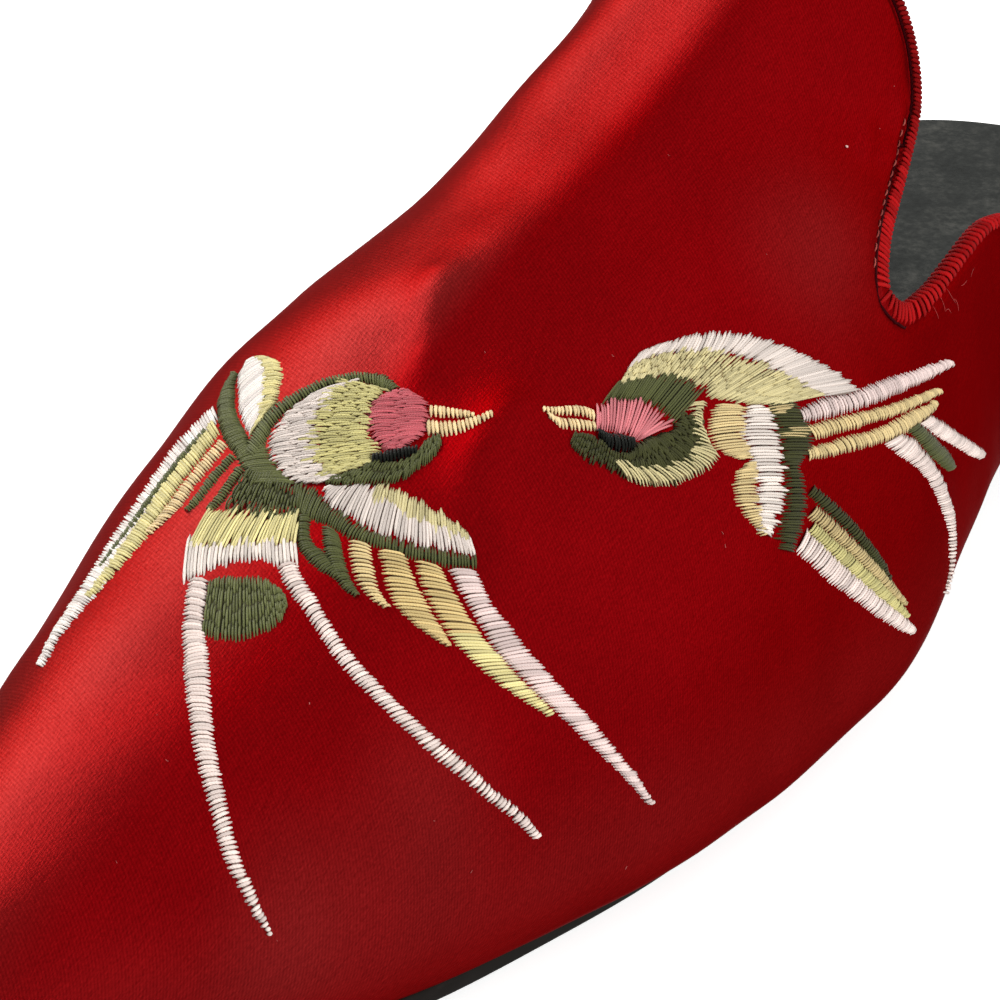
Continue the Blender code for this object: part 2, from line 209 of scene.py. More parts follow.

# The highlight of the satin on the inner side of the crest is painted into its colour as a paler sheen.
# Over the tongue it sets in where the distance round the last plus the slant below times the one along
# it lies within the tongue range, and over the toe where the distance round it lies within the toe range;
# one gives way to the other within the range of changes along the last.
PAINTED_SHEEN_SLANT = 0.083
PAINTED_SHEEN_TONGUE = (-0.0205, -0.0145)
PAINTED_SHEEN_TOE = (-0.012, 0.004)
PAINTED_SHEEN_CHANGES = (-0.180, -0.200)
PAINTED_SHEEN_FULL = (-0.002, 0.006)
PAINTED_SHEEN_AT_CREST = 0.65

# Paler places of the satin, mixed towards its pale colours: round the last, along it and radius; it is
# dusty near the floor as well
PALER_PLACES = (
    (-0.0345, -0.1265, 0.017),
    (-0.0340, -0.2080, 0.014),
    (-0.0290, -0.2230, 0.013),
)
PALER_PLACE_STRENGTH = 0.30
DUSTY_ABOVE_FLOOR = (0.024, 0.010)
FLOOR_DUST_STRENGTH = 0.25

# The insole is painted lighter from the first of these places along the shoe to the second, towards the
# heel: painted shade, darker under the upper towards the toe
INSOLE_PAINTED_SHADE = (0.010, 0.055)

# Overcast edge
LOOP_PITCH = 0.00060
LOOP_REACH = 0.00110      # how far a loop comes down the outer face
LOOP_LONGER = 0.00150     # how much further it comes down at the bottom of a notch
LOOP_LONGER_ALONG = 0.012 # how far from the notch that lasts
LOOP_BACK_REACH = 0.00100
LOOP_RAISE = 0.00018
LOOP_HALF_WIDTH = 0.00028
LOOP_HALF_HEIGHT = 0.00018
LOOP_FRONT_SUNK = 0.00012 # how far its front end goes into the satin
LOOP_BACK_SUNK = 0.00010  # how far its back end goes into the lining
LOOP_OVER_EDGE = 0.00020  # how far its middle stands above the edge
LOOP_LEAN = (0.1, 0.6)    # how far it leans along the edge, as shares of the pitch
LOOP_REACH_SPREAD = (0.92, 1.10)
LOOP_RAISE_SPREAD = (0.85, 1.15)
LOOP_COLOUR_SPREAD = 0.25
LOOPS_PAST_NOTCH = 6      # loops past a notch over which they begin to slant on the wing
LOOPS_WIDER_ON_WING = 0.45 # there every second loop is left out, and the others are wider
LOOP_SLANT_ON_WING = (0.0008, 0.0003)  # front end, back end: along the edge, away from the notch
# The darkening of the loops at the top of the tongue is painted shade
LOOP_PAINTED_SHADE = 0.45        # how much darker loops are at the top of the tongue
LOOP_PAINTED_SHADE_FROM = (0.012, 0.026)  # over which distances from a notch
GROOVE_BESIDE_LOOPS = 0.00030
GROOVE_DEPTH = 0.00042
GROOVE_WIDTH = 0.00045
# The dark seam line beside the loops is a seam, and painted shade of the groove it lies in
SEAM_BESIDE_LOOPS = 0.00024
SEAM_HALF_WIDTH = 0.00020
RAW_EDGE_HALF_WIDTH = 0.00009
RAW_EDGE_RAISE = 0.00042
GROOVE_FADES = 0.008      # the groove fades where the wall is about this short
SETTLED_BELOW_EDGE = 0.004
SETTLED_ABOVE_SOLE = 0.004

# Running stitch inside the overcast edge of the tongue
RUNNING_BESIDE_LOOPS = 0.00060
RUNNING_PERIOD = 0.00155
RUNNING_DASH = 0.00105
RUNNING_HALF_WIDTH = 0.00012
RUNNING_PERIOD_SPREAD = (0.9, 1.1)
RUNNING_COLOUR_SPREAD = 0.3
RUNNING_WANDER = 0.00006  # how far a dash may lie off its line
SEAM_FLATNESS = 0.8       # height of a dash and of the seam over their width
RUNNING_ALONG = 0.022     # how far from a notch the dashes go on
RUNNING_FROM_NOTCH = 7    # steps of a quarter dash between a notch and the first dash
SEAM_PAST_NOTCH = 12      # such steps that the seam goes on past a notch
RUNNING_HEIGHTS = (-0.00005, 0.00010, 0.00013, 0.00010, -0.00005)

# Embroidery threads
THREAD_PITCH = 3.2        # pixels between neighbouring stitches
THREAD_FILL = 0.000048    # half width of a thread for each pixel of pitch
THREAD_FLATNESS = 0.9     # height of a thread over its width
THREAD_RAISE = 0.00030
THREAD_SIDES = 6
THREAD_END = 0.45         # width of a thread's ends over its width
OFF_SHOE_LIMIT = 40       # pixels that the end of a stitch may lie beside the shoe
STITCH_STEP = 8.0         # pixels between the points of a stitch
THREAD_SUNK = 0.00010     # how far the ends of a stitch go into the satin
LAYER_RAISE = 0.00006     # how much each layer lies above the one below
RAISE_JITTER = (-0.00004, 0.00005)
WIDTH_JITTER = (0.92, 1.08)
ROW_OVERLAP = 0.20        # how far the rows of a patch run over one another, as a share of a row
THREAD_JITTER = 0.16      # unevenness of the spacing, as a share of it
ROW_JITTER = 0.36         # unevenness of where the rows break, as a share of a row
THREAD_SPREAD = 0.22      # how much lighter or darker a thread may be than its colour

# Padding below the stitches of a patch, which closes the gaps between them. Its colour is the patch colour
# darkened: painted shade in the gaps between the threads.
PADDING_EVERY = 2         # stitches to each strip of padding
PADDING_FILL = 0.000054   # half width of a strip for each pixel between the strips
PADDING_HALF_HEIGHT = 0.00004
PADDING_RAISE = 0.00014
PADDING_INSET = 2.0       # pixels that it stays inside the shortest stitches
PADDING_INSET_LIMIT = 0.3 # the most it stays inside, as a share of a stitch
PADDING_PAINTED_SHADE = (0.40, 0.34, 0.31)

# Thread colours (linear RGB)
WHITE = (0.76, 0.68, 0.62)
BRIGHT_WHITE = (0.92, 0.84, 0.79)
SOFT_WHITE = (0.67, 0.59, 0.54)
LILAC = (0.70, 0.56, 0.53)
STREAMER_WHITE = (0.76, 0.64, 0.59)
LIME = (0.72, 0.64, 0.30)
MUTED_LIME = (0.56, 0.49, 0.26)
DULL_LIME = (0.52, 0.47, 0.20)
CREAM = (0.78, 0.60, 0.33)
LIGHT_GOLD = (0.64, 0.50, 0.25)
GOLD = (0.62, 0.47, 0.21)
DULL_GOLD = (0.50, 0.39, 0.19)
OLIVE = (0.112, 0.122, 0.044)
DEEP_OLIVE = (0.080, 0.088, 0.030)
DARK_OLIVE = (0.046, 0.048, 0.015)
PINK = (0.50, 0.105, 0.125)
ROSE = (0.62, 0.19, 0.21)
BLACK = (0.006, 0.007, 0.005)
RED_THREAD = (0.34, 0.006, 0.007)
RAW_EDGE_COLOUR = (0.33, 0.11, 0.085)
RUNNING_COLOUR = (0.27, 0.055, 0.045)
SEAM_AND_GROOVE_SHADE_COLOUR = (0.030, 0.001, 0.002)
LINT_COLOUR = (0.44, 0.12, 0.11)
LINT_BRIGHT_COLOUR = (0.80, 0.50, 0.46)
LOOSE_END_COLOUR = (0.42, 0.050, 0.045)

# Lint on the satin; the brightest speck is placed by its pixel in the photograph, the others anywhere
# within a range of pixels across and down it
LINT_BRIGHT = (846, 147)
LINT_BRIGHT_SIZE = (0.00035, 0.00014)  # length and half width
LINT_COUNT = 36
LINT_ACROSS = (40.0, 960.0)
LINT_DOWN = (20.0, 960.0)
LINT_LENGTHS = (0.00010, 0.00050)
LINT_WIDTHS = (0.00002, 0.00004)
LINT_CURL = 0.3           # bend of a fibre, as a share of its length
LINT_COLOUR_SPREAD = 0.2

# Loose thread ends beside the notch, each by the pixel of its middle and its length
LOOSE_END_WIDTH = 0.00003
LOOSE_END_CURL = 1.2
LOOSE_ENDS = (
    ((936, 312), 0.0016),
    ((943, 303), 0.0022),
    ((951, 296), 0.0026),
    ((957, 303), 0.0018),
    ((964, 284), 0.0020),
    ((948, 309), 0.0014),
    ((972, 272), 0.0015),
)

# A patch of stitches: each rung is one stitch as start x, start y, end x, end y in pixels of the
# photograph, and the stitches between two rungs follow from them. rows is how many staggered
# stitches share a line, ragged the unevenness of their ends in pixels, lift their layer, and blend
# how far past its start and its end a stitch may run on into the colour beside it. pitch is the
# spacing of its stitches on the satin, in pixels seen from straight above, and fill how much of that
# spacing they cover.
Patch = namedtuple(
    "Patch", "name colour rows ragged lift rungs blend pitch fill", defaults=((0.0, 0.0), THREAD_PITCH, 1.0)
)
LEFT_BIRD = (
    Patch("wing_outer", BRIGHT_WHITE, 1, 1.0, 0, (
        (212, 406, 218, 421), (195, 421, 206, 438), (173, 445, 187, 460), (152, 475, 166, 488),
        (130, 508, 145, 519), (108, 540, 126, 551), (87, 575, 104, 584), (69, 603, 85, 608),
        (52, 631, 63, 632), (37, 664, 42, 666)), (0, 3), 3.6),
    Patch("wing_row", OLIVE, 1, 0.4, 2, (
        (204, 430, 208, 436), (180, 458, 184, 463), (154, 492, 158, 497), (126, 532, 130, 536),
        (101, 566, 105, 569))),
    Patch("wing_second", LIME, 1, 1.5, 1, (
        (212, 422, 220, 436), (195, 442, 206, 455), (177, 465, 188, 477), (160, 487, 173, 500),
        (145, 510, 160, 522), (129, 533, 145, 541), (114, 556, 128, 560), (100, 579, 108, 582),
        (89, 597, 93, 598)), (3, 0), 3.6),
    Patch("wing_third", CREAM, 1, 1.0, 0, (
        (217, 440, 228, 448), (201, 459, 211, 468), (185, 479, 196, 487), (170, 500, 183, 505),
        (155, 520, 170, 518), (146, 532, 153, 533)), pitch=3.6, fill=0.88),
    Patch("wing_fourth", OLIVE, 1, 0.8, 0, (
        (228, 455, 236, 460), (212, 471, 221, 478), (199, 488, 206, 497), (185, 510, 191, 511)),
        pitch=3.2, fill=0.85),
    Patch("wing_fifth", OLIVE, 1, 0.8, 0, (
        (235, 467, 245, 473), (223, 484, 234, 488), (212, 499, 223, 504), (205, 508, 215, 510)),
        pitch=3.2, fill=0.85),
    Patch("far_lobe_white", BRIGHT_WHITE, 1, 1.5, 0, (
        (242, 367, 256, 359), (237, 378, 265, 361), (237, 392, 268, 368), (238, 407, 268, 382),
        (242, 422, 266, 398), (249, 436, 260, 417)), (0, 8)),
    Patch("far_lobe_lime", LIME, 1, 1.5, 1, (
        (258, 359, 272, 358), (263, 366, 281, 363), (265, 378, 283, 375), (264, 392, 281, 389),
        (261, 407, 277, 402), (255, 430, 266, 418)), (9, 0)),
    Patch("shoulder", OLIVE, 1, 0.8, 1, (
        (231, 375, 239, 374), (221, 391, 236, 384), (216, 406, 236, 401), (217, 422, 239, 416),
        (222, 438, 245, 429), (230, 451, 251, 441), (239, 461, 256, 449)), pitch=2.8),
    Patch("neck", OLIVE, 1, 1.5, 0, (
        (235, 455, 266, 445), (241, 465, 273, 460), (244, 475, 284, 474), (248, 483, 296, 484)),
        (4, 4), fill=0.86),
    Patch("body_white", SOFT_WHITE, 2, 4.0, 1, (
        (314, 394, 352, 383), (295, 406, 333, 395), (281, 420, 322, 413), (271, 436, 316, 426),
        (267, 451, 314, 443), (271, 465, 314, 459), (279, 475, 322, 468), (293, 483, 329, 477),
        (314, 484, 331, 481)), (0, 14), fill=0.90),
    Patch("body_lime", DULL_LIME, 3, 4.0, 2, (
        (348, 383, 386, 391), (329, 396, 379, 397), (318, 413, 369, 411), (314, 426, 367, 424),
        (312, 443, 369, 438), (313, 459, 379, 449), (320, 468, 373, 461), (327, 477, 348, 472)),
        (16, 6), fill=0.88),
    Patch("crown", OLIVE, 1, 1.0, 3, (
        (243, 447, 260, 462), (251, 432, 266, 447), (260, 418, 272, 432), (279, 401, 289, 413),
        (302, 388, 310, 399), (329, 377, 335, 387), (356, 372, 358, 383), (381, 373, 379, 390),
        (400, 387, 389, 393)), fill=0.86),
    Patch("cheek", PINK, 2, 2.0, 3, (
        (408, 391, 392, 394), (421, 397, 381, 399), (429, 405, 371, 409), (431, 415, 367, 418),
        (430, 424, 368, 430), (426, 433, 373, 441), (415, 441, 381, 449), (406, 450, 392, 451)),
        (0, 6), 2.7),
    Patch("throat", DEEP_OLIVE, 2, 1.5, 2, (
        (334, 479, 326, 484), (355, 471, 343, 486), (379, 461, 362, 486), (398, 461, 384, 485),
        (417, 453, 404, 479), (426, 441, 420, 469), (435, 436, 434, 457), (440, 438, 441, 446)),
        (4, 2), 3.0, 0.86),
    Patch("eye", BLACK, 1, 0.6, 8, (
        (375, 455, 373, 466), (387, 452, 387, 465), (402, 449, 402, 461), (417, 447, 416, 457))),
    Patch("beak_upper", CREAM, 1, 0.4, 3, (
        (432, 405, 431, 417), (446, 407, 446, 418), (461, 411, 461, 418), (474, 415, 473, 418)), pitch=4.0),
    Patch("beak_lower", CREAM, 1, 0.4, 2, (
        (429, 419, 429, 436), (440, 420, 442, 437), (455, 420, 457, 435), (469, 418, 471, 429),
        (480, 416, 481, 423), (491, 412, 492, 417)), pitch=4.0),
    Patch("back", DEEP_OLIVE, 3, 4.0, 1, (
        (247, 472, 226, 508), (257, 472, 237, 510), (268, 474, 251, 512), (279, 478, 266, 515),
        (291, 483, 281, 517), (302, 487, 295, 518)), (6, 14), fill=0.84),
    Patch("rump_lime", LIME, 1, 5.0, 2, (
        (209, 512, 188, 552), (224, 510, 201, 550), (239, 512, 218, 548), (257, 514, 239, 548),
        (274, 516, 260, 547), (289, 518, 279, 546), (299, 520, 295, 545)), (12, 10)),
    Patch("rump_white", WHITE, 1, 3.0, 1, (
        (189, 543, 184, 583), (201, 546, 197, 579), (218, 547, 214, 570), (239, 545, 236, 564),
        (260, 544, 260, 562), (278, 543, 279, 568), (295, 543, 297, 564)), (12, 0), 3.6),
    Patch("tail_patch", OLIVE, 4, 1.5, 0, (
        (211, 578, 203, 634), (222, 576, 214, 640), (236, 575, 233, 643), (250, 575, 251, 640),
        (263, 577, 267, 633), (275, 584, 280, 622), (284, 594, 287, 608)), fill=0.84),
    Patch("streamer_left", STREAMER_WHITE, 1, 1.0, 1, (
        (188, 581, 210, 582), (184, 605, 207, 609), (182, 632, 205, 632), (183, 662, 209, 655),
        (185, 693, 211, 693), (189, 722, 213, 722), (194, 754, 217, 754), (202, 785, 223, 781),
        (213, 823, 230, 815), (224, 860, 241, 858), (240, 892, 253, 886), (254, 917, 262, 910),
        (268, 934, 271, 932)), pitch=4.6),
    Patch("streamer_right", STREAMER_WHITE, 1, 1.0, 1, (
        (277, 569, 297, 563), (285, 586, 304, 579), (299, 606, 316, 597), (317, 632, 330, 622),
        (333, 657, 348, 648), (351, 678, 368, 670), (371, 698, 389, 693), (392, 719, 410, 713),
        (413, 738, 430, 732), (434, 758, 449, 747), (458, 776, 470, 765), (483, 797, 491, 786),
        (510, 818, 518, 808), (533, 838, 541, 833)), pitch=4.6),
    Patch("covert_band", DEEP_OLIVE, 1, 1.5, 0, (
        (297, 485, 297, 508), (314, 489, 302, 520), (327, 503, 318, 524), (343, 514, 333, 531),
        (362, 526, 352, 541), (381, 535, 379, 550), (406, 543, 404, 558), (431, 548, 431, 565),
        (454, 552, 454, 570), (475, 555, 476, 571)), (5, 0), fill=0.84),
    Patch("covert_white", SOFT_WHITE, 1, 3.0, 1, (
        (333, 487, 322, 491), (348, 487, 333, 506), (367, 487, 352, 518), (383, 493, 371, 531),
        (402, 506, 396, 539), (421, 516, 421, 546), (440, 524, 444, 550), (457, 529, 463, 552),
        (469, 537, 474, 554)), (8, 6), 3.6),
    Patch("covert_lime", MUTED_LIME, 1, 3.5, 2, (
        (379, 485, 371, 504), (392, 484, 389, 508), (410, 493, 406, 520), (427, 503, 427, 527),
        (444, 512, 446, 533), (457, 521, 459, 535), (467, 531, 468, 541)), (0, 10)),
    Patch("loop_first", DEEP_OLIVE, 1, 0.8, 0, (
        (296, 518, 312, 516), (296, 532, 310, 532), (297, 546, 314, 543), (304, 559, 324, 551),
        (317, 570, 334, 561), (332, 578, 340, 573))),
    Patch("loop_second", DEEP_OLIVE, 1, 0.8, 1, (
        (321, 526, 340, 536), (322, 545, 343, 548), (326, 563, 346, 562), (333, 578, 350, 575),
        (342, 589, 355, 586), (353, 597, 360, 594))),
    Patch("gold_first", LIGHT_GOLD, 1, 1.0, 0, (
        (347, 541, 371, 547), (348, 556, 373, 559), (351, 572, 376, 574), (358, 587, 380, 588),
        (370, 599, 386, 600), (382, 608, 391, 606)), pitch=4.4, fill=0.76),
    Patch("gold_second", GOLD, 1, 1.0, 0, (
        (377, 551, 407, 556), (379, 562, 412, 568), (383, 580, 418, 584), (390, 600, 429, 603),
        (402, 615, 438, 620), (422, 631, 447, 635), (445, 646, 452, 645)), pitch=4.4, fill=0.76),
    Patch("gold_third", GOLD, 1, 1.0, 0, (
        (413, 561, 442, 569), (417, 578, 451, 584), (424, 596, 462, 602), (436, 618, 474, 622),
        (445, 632, 482, 633)), pitch=4.4, fill=0.76),
    Patch("gold_third_low", LIME, 1, 1.0, 0, (
        (447, 635, 484, 636), (455, 645, 492, 646), (470, 660, 504, 658), (492, 680, 520, 677),
        (517, 698, 538, 694), (546, 716, 555, 712)), pitch=4.2, fill=0.80),
    Patch("primary", LILAC, 1, 1.2, 1, (
        (448, 571, 477, 572), (457, 589, 485, 588), (470, 610, 494, 605), (479, 627, 508, 622),
        (494, 651, 525, 644), (513, 670, 545, 668), (533, 692, 562, 687), (554, 711, 584, 711),
        (574, 731, 598, 726), (598, 753, 617, 750), (620, 774, 637, 774), (647, 804, 653, 801)), pitch=4.2),
)
RIGHT_BIRD = (
    Patch("feather_pale", LILAC, 1, 1.0, 1, (
        (799, 408, 804, 423), (815, 400, 823, 420), (834, 394, 843, 415), (853, 390, 862, 409),
        (872, 383, 881, 402), (891, 376, 899, 394), (910, 371, 917, 386), (930, 364, 935, 377),
        (948, 359, 952, 367)), pitch=4.4, fill=0.86),
    Patch("feather_gold", LIGHT_GOLD, 1, 1.0, 0, (
        (807, 425, 817, 440), (829, 419, 837, 435), (852, 413, 860, 428), (875, 408, 881, 421),
        (897, 401, 902, 414), (918, 394, 923, 404), (937, 388, 941, 394)), pitch=4.4, fill=0.82),
    Patch("feather_lime", LIGHT_GOLD, 1, 1.0, 0, (
        (807, 447, 810, 461), (823, 443, 833, 457), (848, 435, 856, 451), (871, 430, 879, 445),
        (890, 421, 898, 438), (907, 412, 915, 428), (923, 406, 929, 417), (933, 400, 937, 407)),
        pitch=4.4, fill=0.82),
    Patch("tail_green", DEEP_OLIVE, 1, 0.8, 0, (
        (921, 422, 907, 432), (931, 432, 919, 444), (942, 443, 929, 456), (951, 454, 940, 466),
        (955, 464, 948, 471)), pitch=4.2, fill=0.80),
    Patch("tail_short", STREAMER_WHITE, 1, 0.8, 1, (
        (932, 415, 921, 424), (943, 421, 933, 434), (954, 429, 946, 442), (967, 438, 960, 450),
        (976, 444, 970, 456), (984, 450, 979, 459)), pitch=4.4, fill=0.86),
    Patch("tail_long", STREAMER_WHITE, 1, 0.8, 1, (
        (884, 445, 903, 434), (899, 456, 914, 438), (912, 465, 926, 451), (923, 475, 936, 464),
        (931, 487, 944, 478), (939, 505, 951, 499), (945, 522, 955, 518), (949, 543, 955, 541),
        (949, 566, 952, 565), (944, 592, 946, 592)), pitch=4.4, fill=0.86),
    Patch("lower_green", DARK_OLIVE, 1, 0.8, 0, (
        (808, 496, 815, 485), (823, 511, 835, 501), (844, 531, 854, 520), (865, 554, 873, 543),
        (877, 569, 886, 563), (888, 590, 894, 586)), pitch=3.8, fill=0.82),
    Patch("lower_gold", DULL_GOLD, 1, 1.0, 1, (
        (807, 519, 818, 505), (828, 536, 838, 522), (849, 555, 860, 544), (870, 577, 880, 565),
        (889, 595, 896, 586), (903, 605, 905, 601)), pitch=3.8, fill=0.85),
    Patch("lower_lime", DULL_LIME, 1, 1.0, 1, (
        (807, 534, 816, 521), (822, 549, 833, 536), (838, 565, 850, 551), (854, 579, 867, 566),
        (871, 594, 884, 582), (889, 609, 898, 598), (904, 618, 908, 613)), pitch=3.8, fill=0.90),
    Patch("lower_white", STREAMER_WHITE, 1, 1.2, 0, (
        (796, 553, 808, 528), (807, 563, 822, 541), (821, 576, 836, 555), (837, 589, 851, 569),
        (855, 602, 868, 583), (875, 616, 886, 598), (894, 628, 903, 613), (910, 635, 915, 626)),
        pitch=4.4, fill=0.86),
    Patch("wing_band", DARK_OLIVE, 1, 1.5, 0, (
        (766, 404, 799, 404), (773, 419, 808, 419), (778, 434, 815, 434), (782, 451, 812, 451),
        (785, 466, 802, 466), (787, 484, 806, 484), (787, 501, 808, 501), (783, 520, 806, 520),
        (779, 535, 801, 537), (783, 549, 796, 552)), (7, 0), fill=0.84),
    Patch("band_threads", DULL_GOLD, 1, 4.0, 2, (
        (765, 409, 800, 404), (768, 414, 790, 413)), fill=0.6),
    Patch("band_threads_low", DULL_GOLD, 1, 4.0, 2, (
        (780, 429, 813, 428), (782, 436, 808, 437)), fill=0.6),
    Patch("wing_gold_top", LIGHT_GOLD, 1, 2.0, 1, (
        (713, 405, 744, 407), (708, 417, 745, 415), (706, 430, 745, 426), (710, 442, 746, 438),
        (719, 452, 748, 449), (738, 459, 750, 458)), (0, 7), fill=0.85),
    Patch("wing_gold_low", LIGHT_GOLD, 1, 2.0, 1, (
        (745, 464, 757, 463), (734, 474, 757, 472), (732, 486, 757, 484), (734, 497, 757, 497),
        (740, 512, 757, 510), (750, 524, 759, 522), (759, 536, 765, 534)), (0, 7), fill=0.85),
    Patch("wing_white", WHITE, 1, 2.5, 2, (
        (746, 408, 763, 407), (745, 422, 772, 422), (746, 440, 776, 440), (750, 457, 780, 457),
        (756, 472, 783, 472), (757, 487, 783, 487), (757, 503, 781, 505), (758, 518, 776, 520),
        (762, 532, 768, 535)), (7, 7), 3.4),
    Patch("back_lime", MUTED_LIME, 3, 3.5, 1, (
        (619, 386, 630, 369), (640, 379, 653, 358), (665, 376, 684, 351), (690, 380, 714, 353),
        (709, 390, 743, 363), (711, 397, 757, 363), (729, 400, 780, 375), (748, 403, 799, 384),
        (765, 404, 815, 390), (780, 404, 822, 395)), (5, 10), fill=0.88),
    Patch("back_white", SOFT_WHITE, 1, 2.5, 2, (
        (632, 365, 644, 351), (653, 355, 667, 342), (704, 352, 713, 332), (725, 351, 738, 332),
        (744, 354, 763, 338), (761, 361, 788, 346), (778, 371, 813, 358), (792, 380, 834, 369),
        (803, 387, 849, 379), (815, 392, 858, 387), (826, 395, 859, 389)), (8, 0), 3.8),
    Patch("head_fringe", MUTED_LIME, 1, 1.5, 5, (
        (615, 464, 630, 483), (630, 469, 644, 486), (648, 472, 665, 488), (667, 469, 686, 482),
        (686, 460, 703, 474), (698, 450, 720, 457), (699, 439, 711, 444), (697, 427, 705, 432),
        (694, 413, 703, 415), (692, 405, 709, 403)), (14, 0), 4.0, 0.62),
    Patch("head_low", DARK_OLIVE, 3, 1.5, 2, (
        (575, 434, 572, 441), (586, 434, 579, 451), (598, 438, 592, 460), (611, 449, 607, 466),
        (626, 452, 624, 474), (636, 443, 644, 483), (644, 439, 667, 483), (651, 436, 688, 474),
        (663, 432, 703, 462), (672, 428, 706, 451), (676, 420, 703, 436), (678, 413, 700, 422)),
        (0, 6), 2.9),
    Patch("head_top", DEEP_OLIVE, 1, 2.0, 2, (
        (604, 402, 617, 385), (619, 401, 632, 379), (636, 401, 653, 376), (651, 405, 674, 376),
        (665, 415, 693, 382), (672, 424, 701, 392)), (3, 9), 2.8, 0.86),
    Patch("cheek", ROSE, 1, 2.5, 3, (
        (597, 429, 597, 410), (605, 430, 605, 404), (617, 432, 621, 402), (626, 434, 636, 402),
        (634, 437, 649, 406), (638, 439, 661, 415), (641, 439, 670, 426)), (3, 9)),
    Patch("eye", BLACK, 1, 0.6, 8, (
        (597, 431, 599, 438), (607, 432, 609, 451), (619, 433, 623, 456), (631, 437, 633, 450))),
    Patch("beak_upper", CREAM, 1, 0.4, 1, (
        (543, 408, 544, 412), (556, 407, 557, 415), (571, 405, 573, 416), (584, 406, 588, 418),
        (591, 409, 594, 422)), pitch=3.8),
    Patch("beak_lower", CREAM, 1, 0.4, 0, (
        (547, 412, 551, 419), (559, 417, 563, 429), (575, 418, 579, 431), (592, 421, 595, 431)), pitch=3.8),
)

RANDOM_SEED = 7


def column(rows, name):
    return np.array([getattr(row, name) for row in rows])


def stacked(*columns):
    return np.stack(columns, axis=-1)


def unit(vectors):
    return vectors / np.maximum(np.linalg.norm(vectors, axis=-1, keepdims=True), 1e-12)


def share_between(value, start, end):
    """0 up to the start, 1 from the end on and evenly in between."""
    return np.clip((value - start) / (end - start), 0.0, 1.0)


def length_along(line):
    """Distance of each point of a line from its first one, along it."""
    return np.concatenate([[0.0], np.cumsum(np.linalg.norm(np.diff(line, axis=0), axis=-1))])


def smooth(knots, values, at):
    """Cubic through the knots that never swings past them."""
    steps = np.diff(knots)
    slopes = np.diff(values) / steps
    tangents = np.concatenate([slopes[:1], np.zeros(len(knots) - 2), slopes[-1:]])
    for index in range(1, len(knots) - 1):
        before = slopes[index - 1]
        after = slopes[index]
        if before * after > 0.0:
            weight_before = 2.0 * steps[index] + steps[index - 1]
            weight_after = steps[index] + 2.0 * steps[index - 1]
            both = weight_before + weight_after
            tangents[index] = both / (weight_before / before + weight_after / after)
    at = np.asarray(at, dtype=float)
    cell = np.clip(np.searchsorted(knots, at) - 1, 0, len(steps) - 1)
    part = (at - knots[cell]) / steps[cell]
    square = part * part
    cube = square * part
    return (
        (2.0 * cube - 3.0 * square + 1.0) * values[cell]
        + (cube - 2.0 * square + part) * steps[cell] * tangents[cell]
        + (3.0 * square - 2.0 * cube) * values[cell + 1]
        + (cube - square) * steps[cell] * tangents[cell + 1]
    )


def round_ended(station):
    """Spread the stations so that the heel and the toe come out round, not sharp."""
    return np.arccos(1.0 - 2.0 * np.clip(station, 0.0, 1.0))


def section_value(name, station):
    knots = round_ended(column(SECTIONS, "station"))
    return smooth(knots, column(SECTIONS, name), round_ended(station))


def feather_height(station):
    return OUTSOLE_THICKNESS + GAP + HEEL_HEIGHT * section_value("lift", station)


def last_point(station, angle):
    """A point on the last; angle 0 is the outer feather line, pi the inner one."""
    station, angle = np.broadcast_arrays(np.asarray(station, float), np.asarray(angle, float))
    crest_side = HALF_BALL * section_value("crest_side", station)
    outer_width = HALF_BALL * section_value("outer", station) - crest_side
    inner_width = crest_side - HALF_BALL * section_value("inner", station)
    level = np.cos(angle)
    above = INSTEP_RISE * section_value("crest", station) * np.abs(np.sin(angle))
    width = np.where(level >= 0.0, outer_width, inner_width)
    below = np.clip(1.0 - above / TUCK_HEIGHT, 0.0, 1.0)
    turn = 1.0 - np.sqrt(1.0 - below * below)
    tuck = np.minimum(TUCK * section_value("tuck", station) * turn, TUCK_LIMIT * width)
    reach = (width - tuck) * np.abs(level) ** FULLNESS
    aside = crest_side + np.sign(level) * reach
    return stacked(aside, LENGTH * (0.5 - station), feather_height(station) + above)


def last_normal(station, angle):
    """Outward normal of the last."""
    near = np.clip(station, *NORMAL_STATIONS)
    along = last_point(near + NORMAL_STEP_ALONG, angle) - last_point(near - NORMAL_STEP_ALONG, angle)
    low = np.clip(angle - NORMAL_STEP_ROUND, 0.0, np.pi)
    high = np.clip(angle + NORMAL_STEP_ROUND, 0.0, np.pi)
    return unit(np.cross(last_point(near, high) - last_point(near, low), along))


def hollow_station(station):
    """Station inside the upper that lies behind a station of its outer face."""
    moved = HOLLOW_NARROWS + share_between(station, HOLLOW_NARROWS, 1.0) * (HOLLOW_ENDS - HOLLOW_NARROWS)
    return np.where(station > HOLLOW_NARROWS, moved, station)


def hollow_wall(inside, angle):
    """The inner face of the wall at a station of the hollow, never lower than the feather line."""
    wall = last_point(inside, angle) - WALL * last_normal(inside, angle)
    wall[..., 2] = np.maximum(wall[..., 2], feather_height(inside))
    crest_side = HALF_BALL * section_value("crest_side", inside)
    middle = stacked(crest_side, LENGTH * (0.5 - inside), feather_height(inside))
    front = share_between(inside, HOLLOW_NARROWS, HOLLOW_ENDS)
    return middle + (wall - middle) * np.sqrt(np.maximum(1.0 - front * front, 0.0))[..., None]


def edge_lines(rows):
    """The edge table filled in between its rows, evenly within each."""
    knots = length_along(stacked(LENGTH * column(rows, "station"), INSTEP_RISE * column(rows, "rise")))
    count = (len(rows) - 1) * STEPS_PER_EDGE_ROW + 1
    at = np.interp(np.arange(count) / STEPS_PER_EDGE_ROW, np.arange(len(rows)), knots)
    return {name: smooth(knots, column(rows, name), at) for name in Edge._fields}


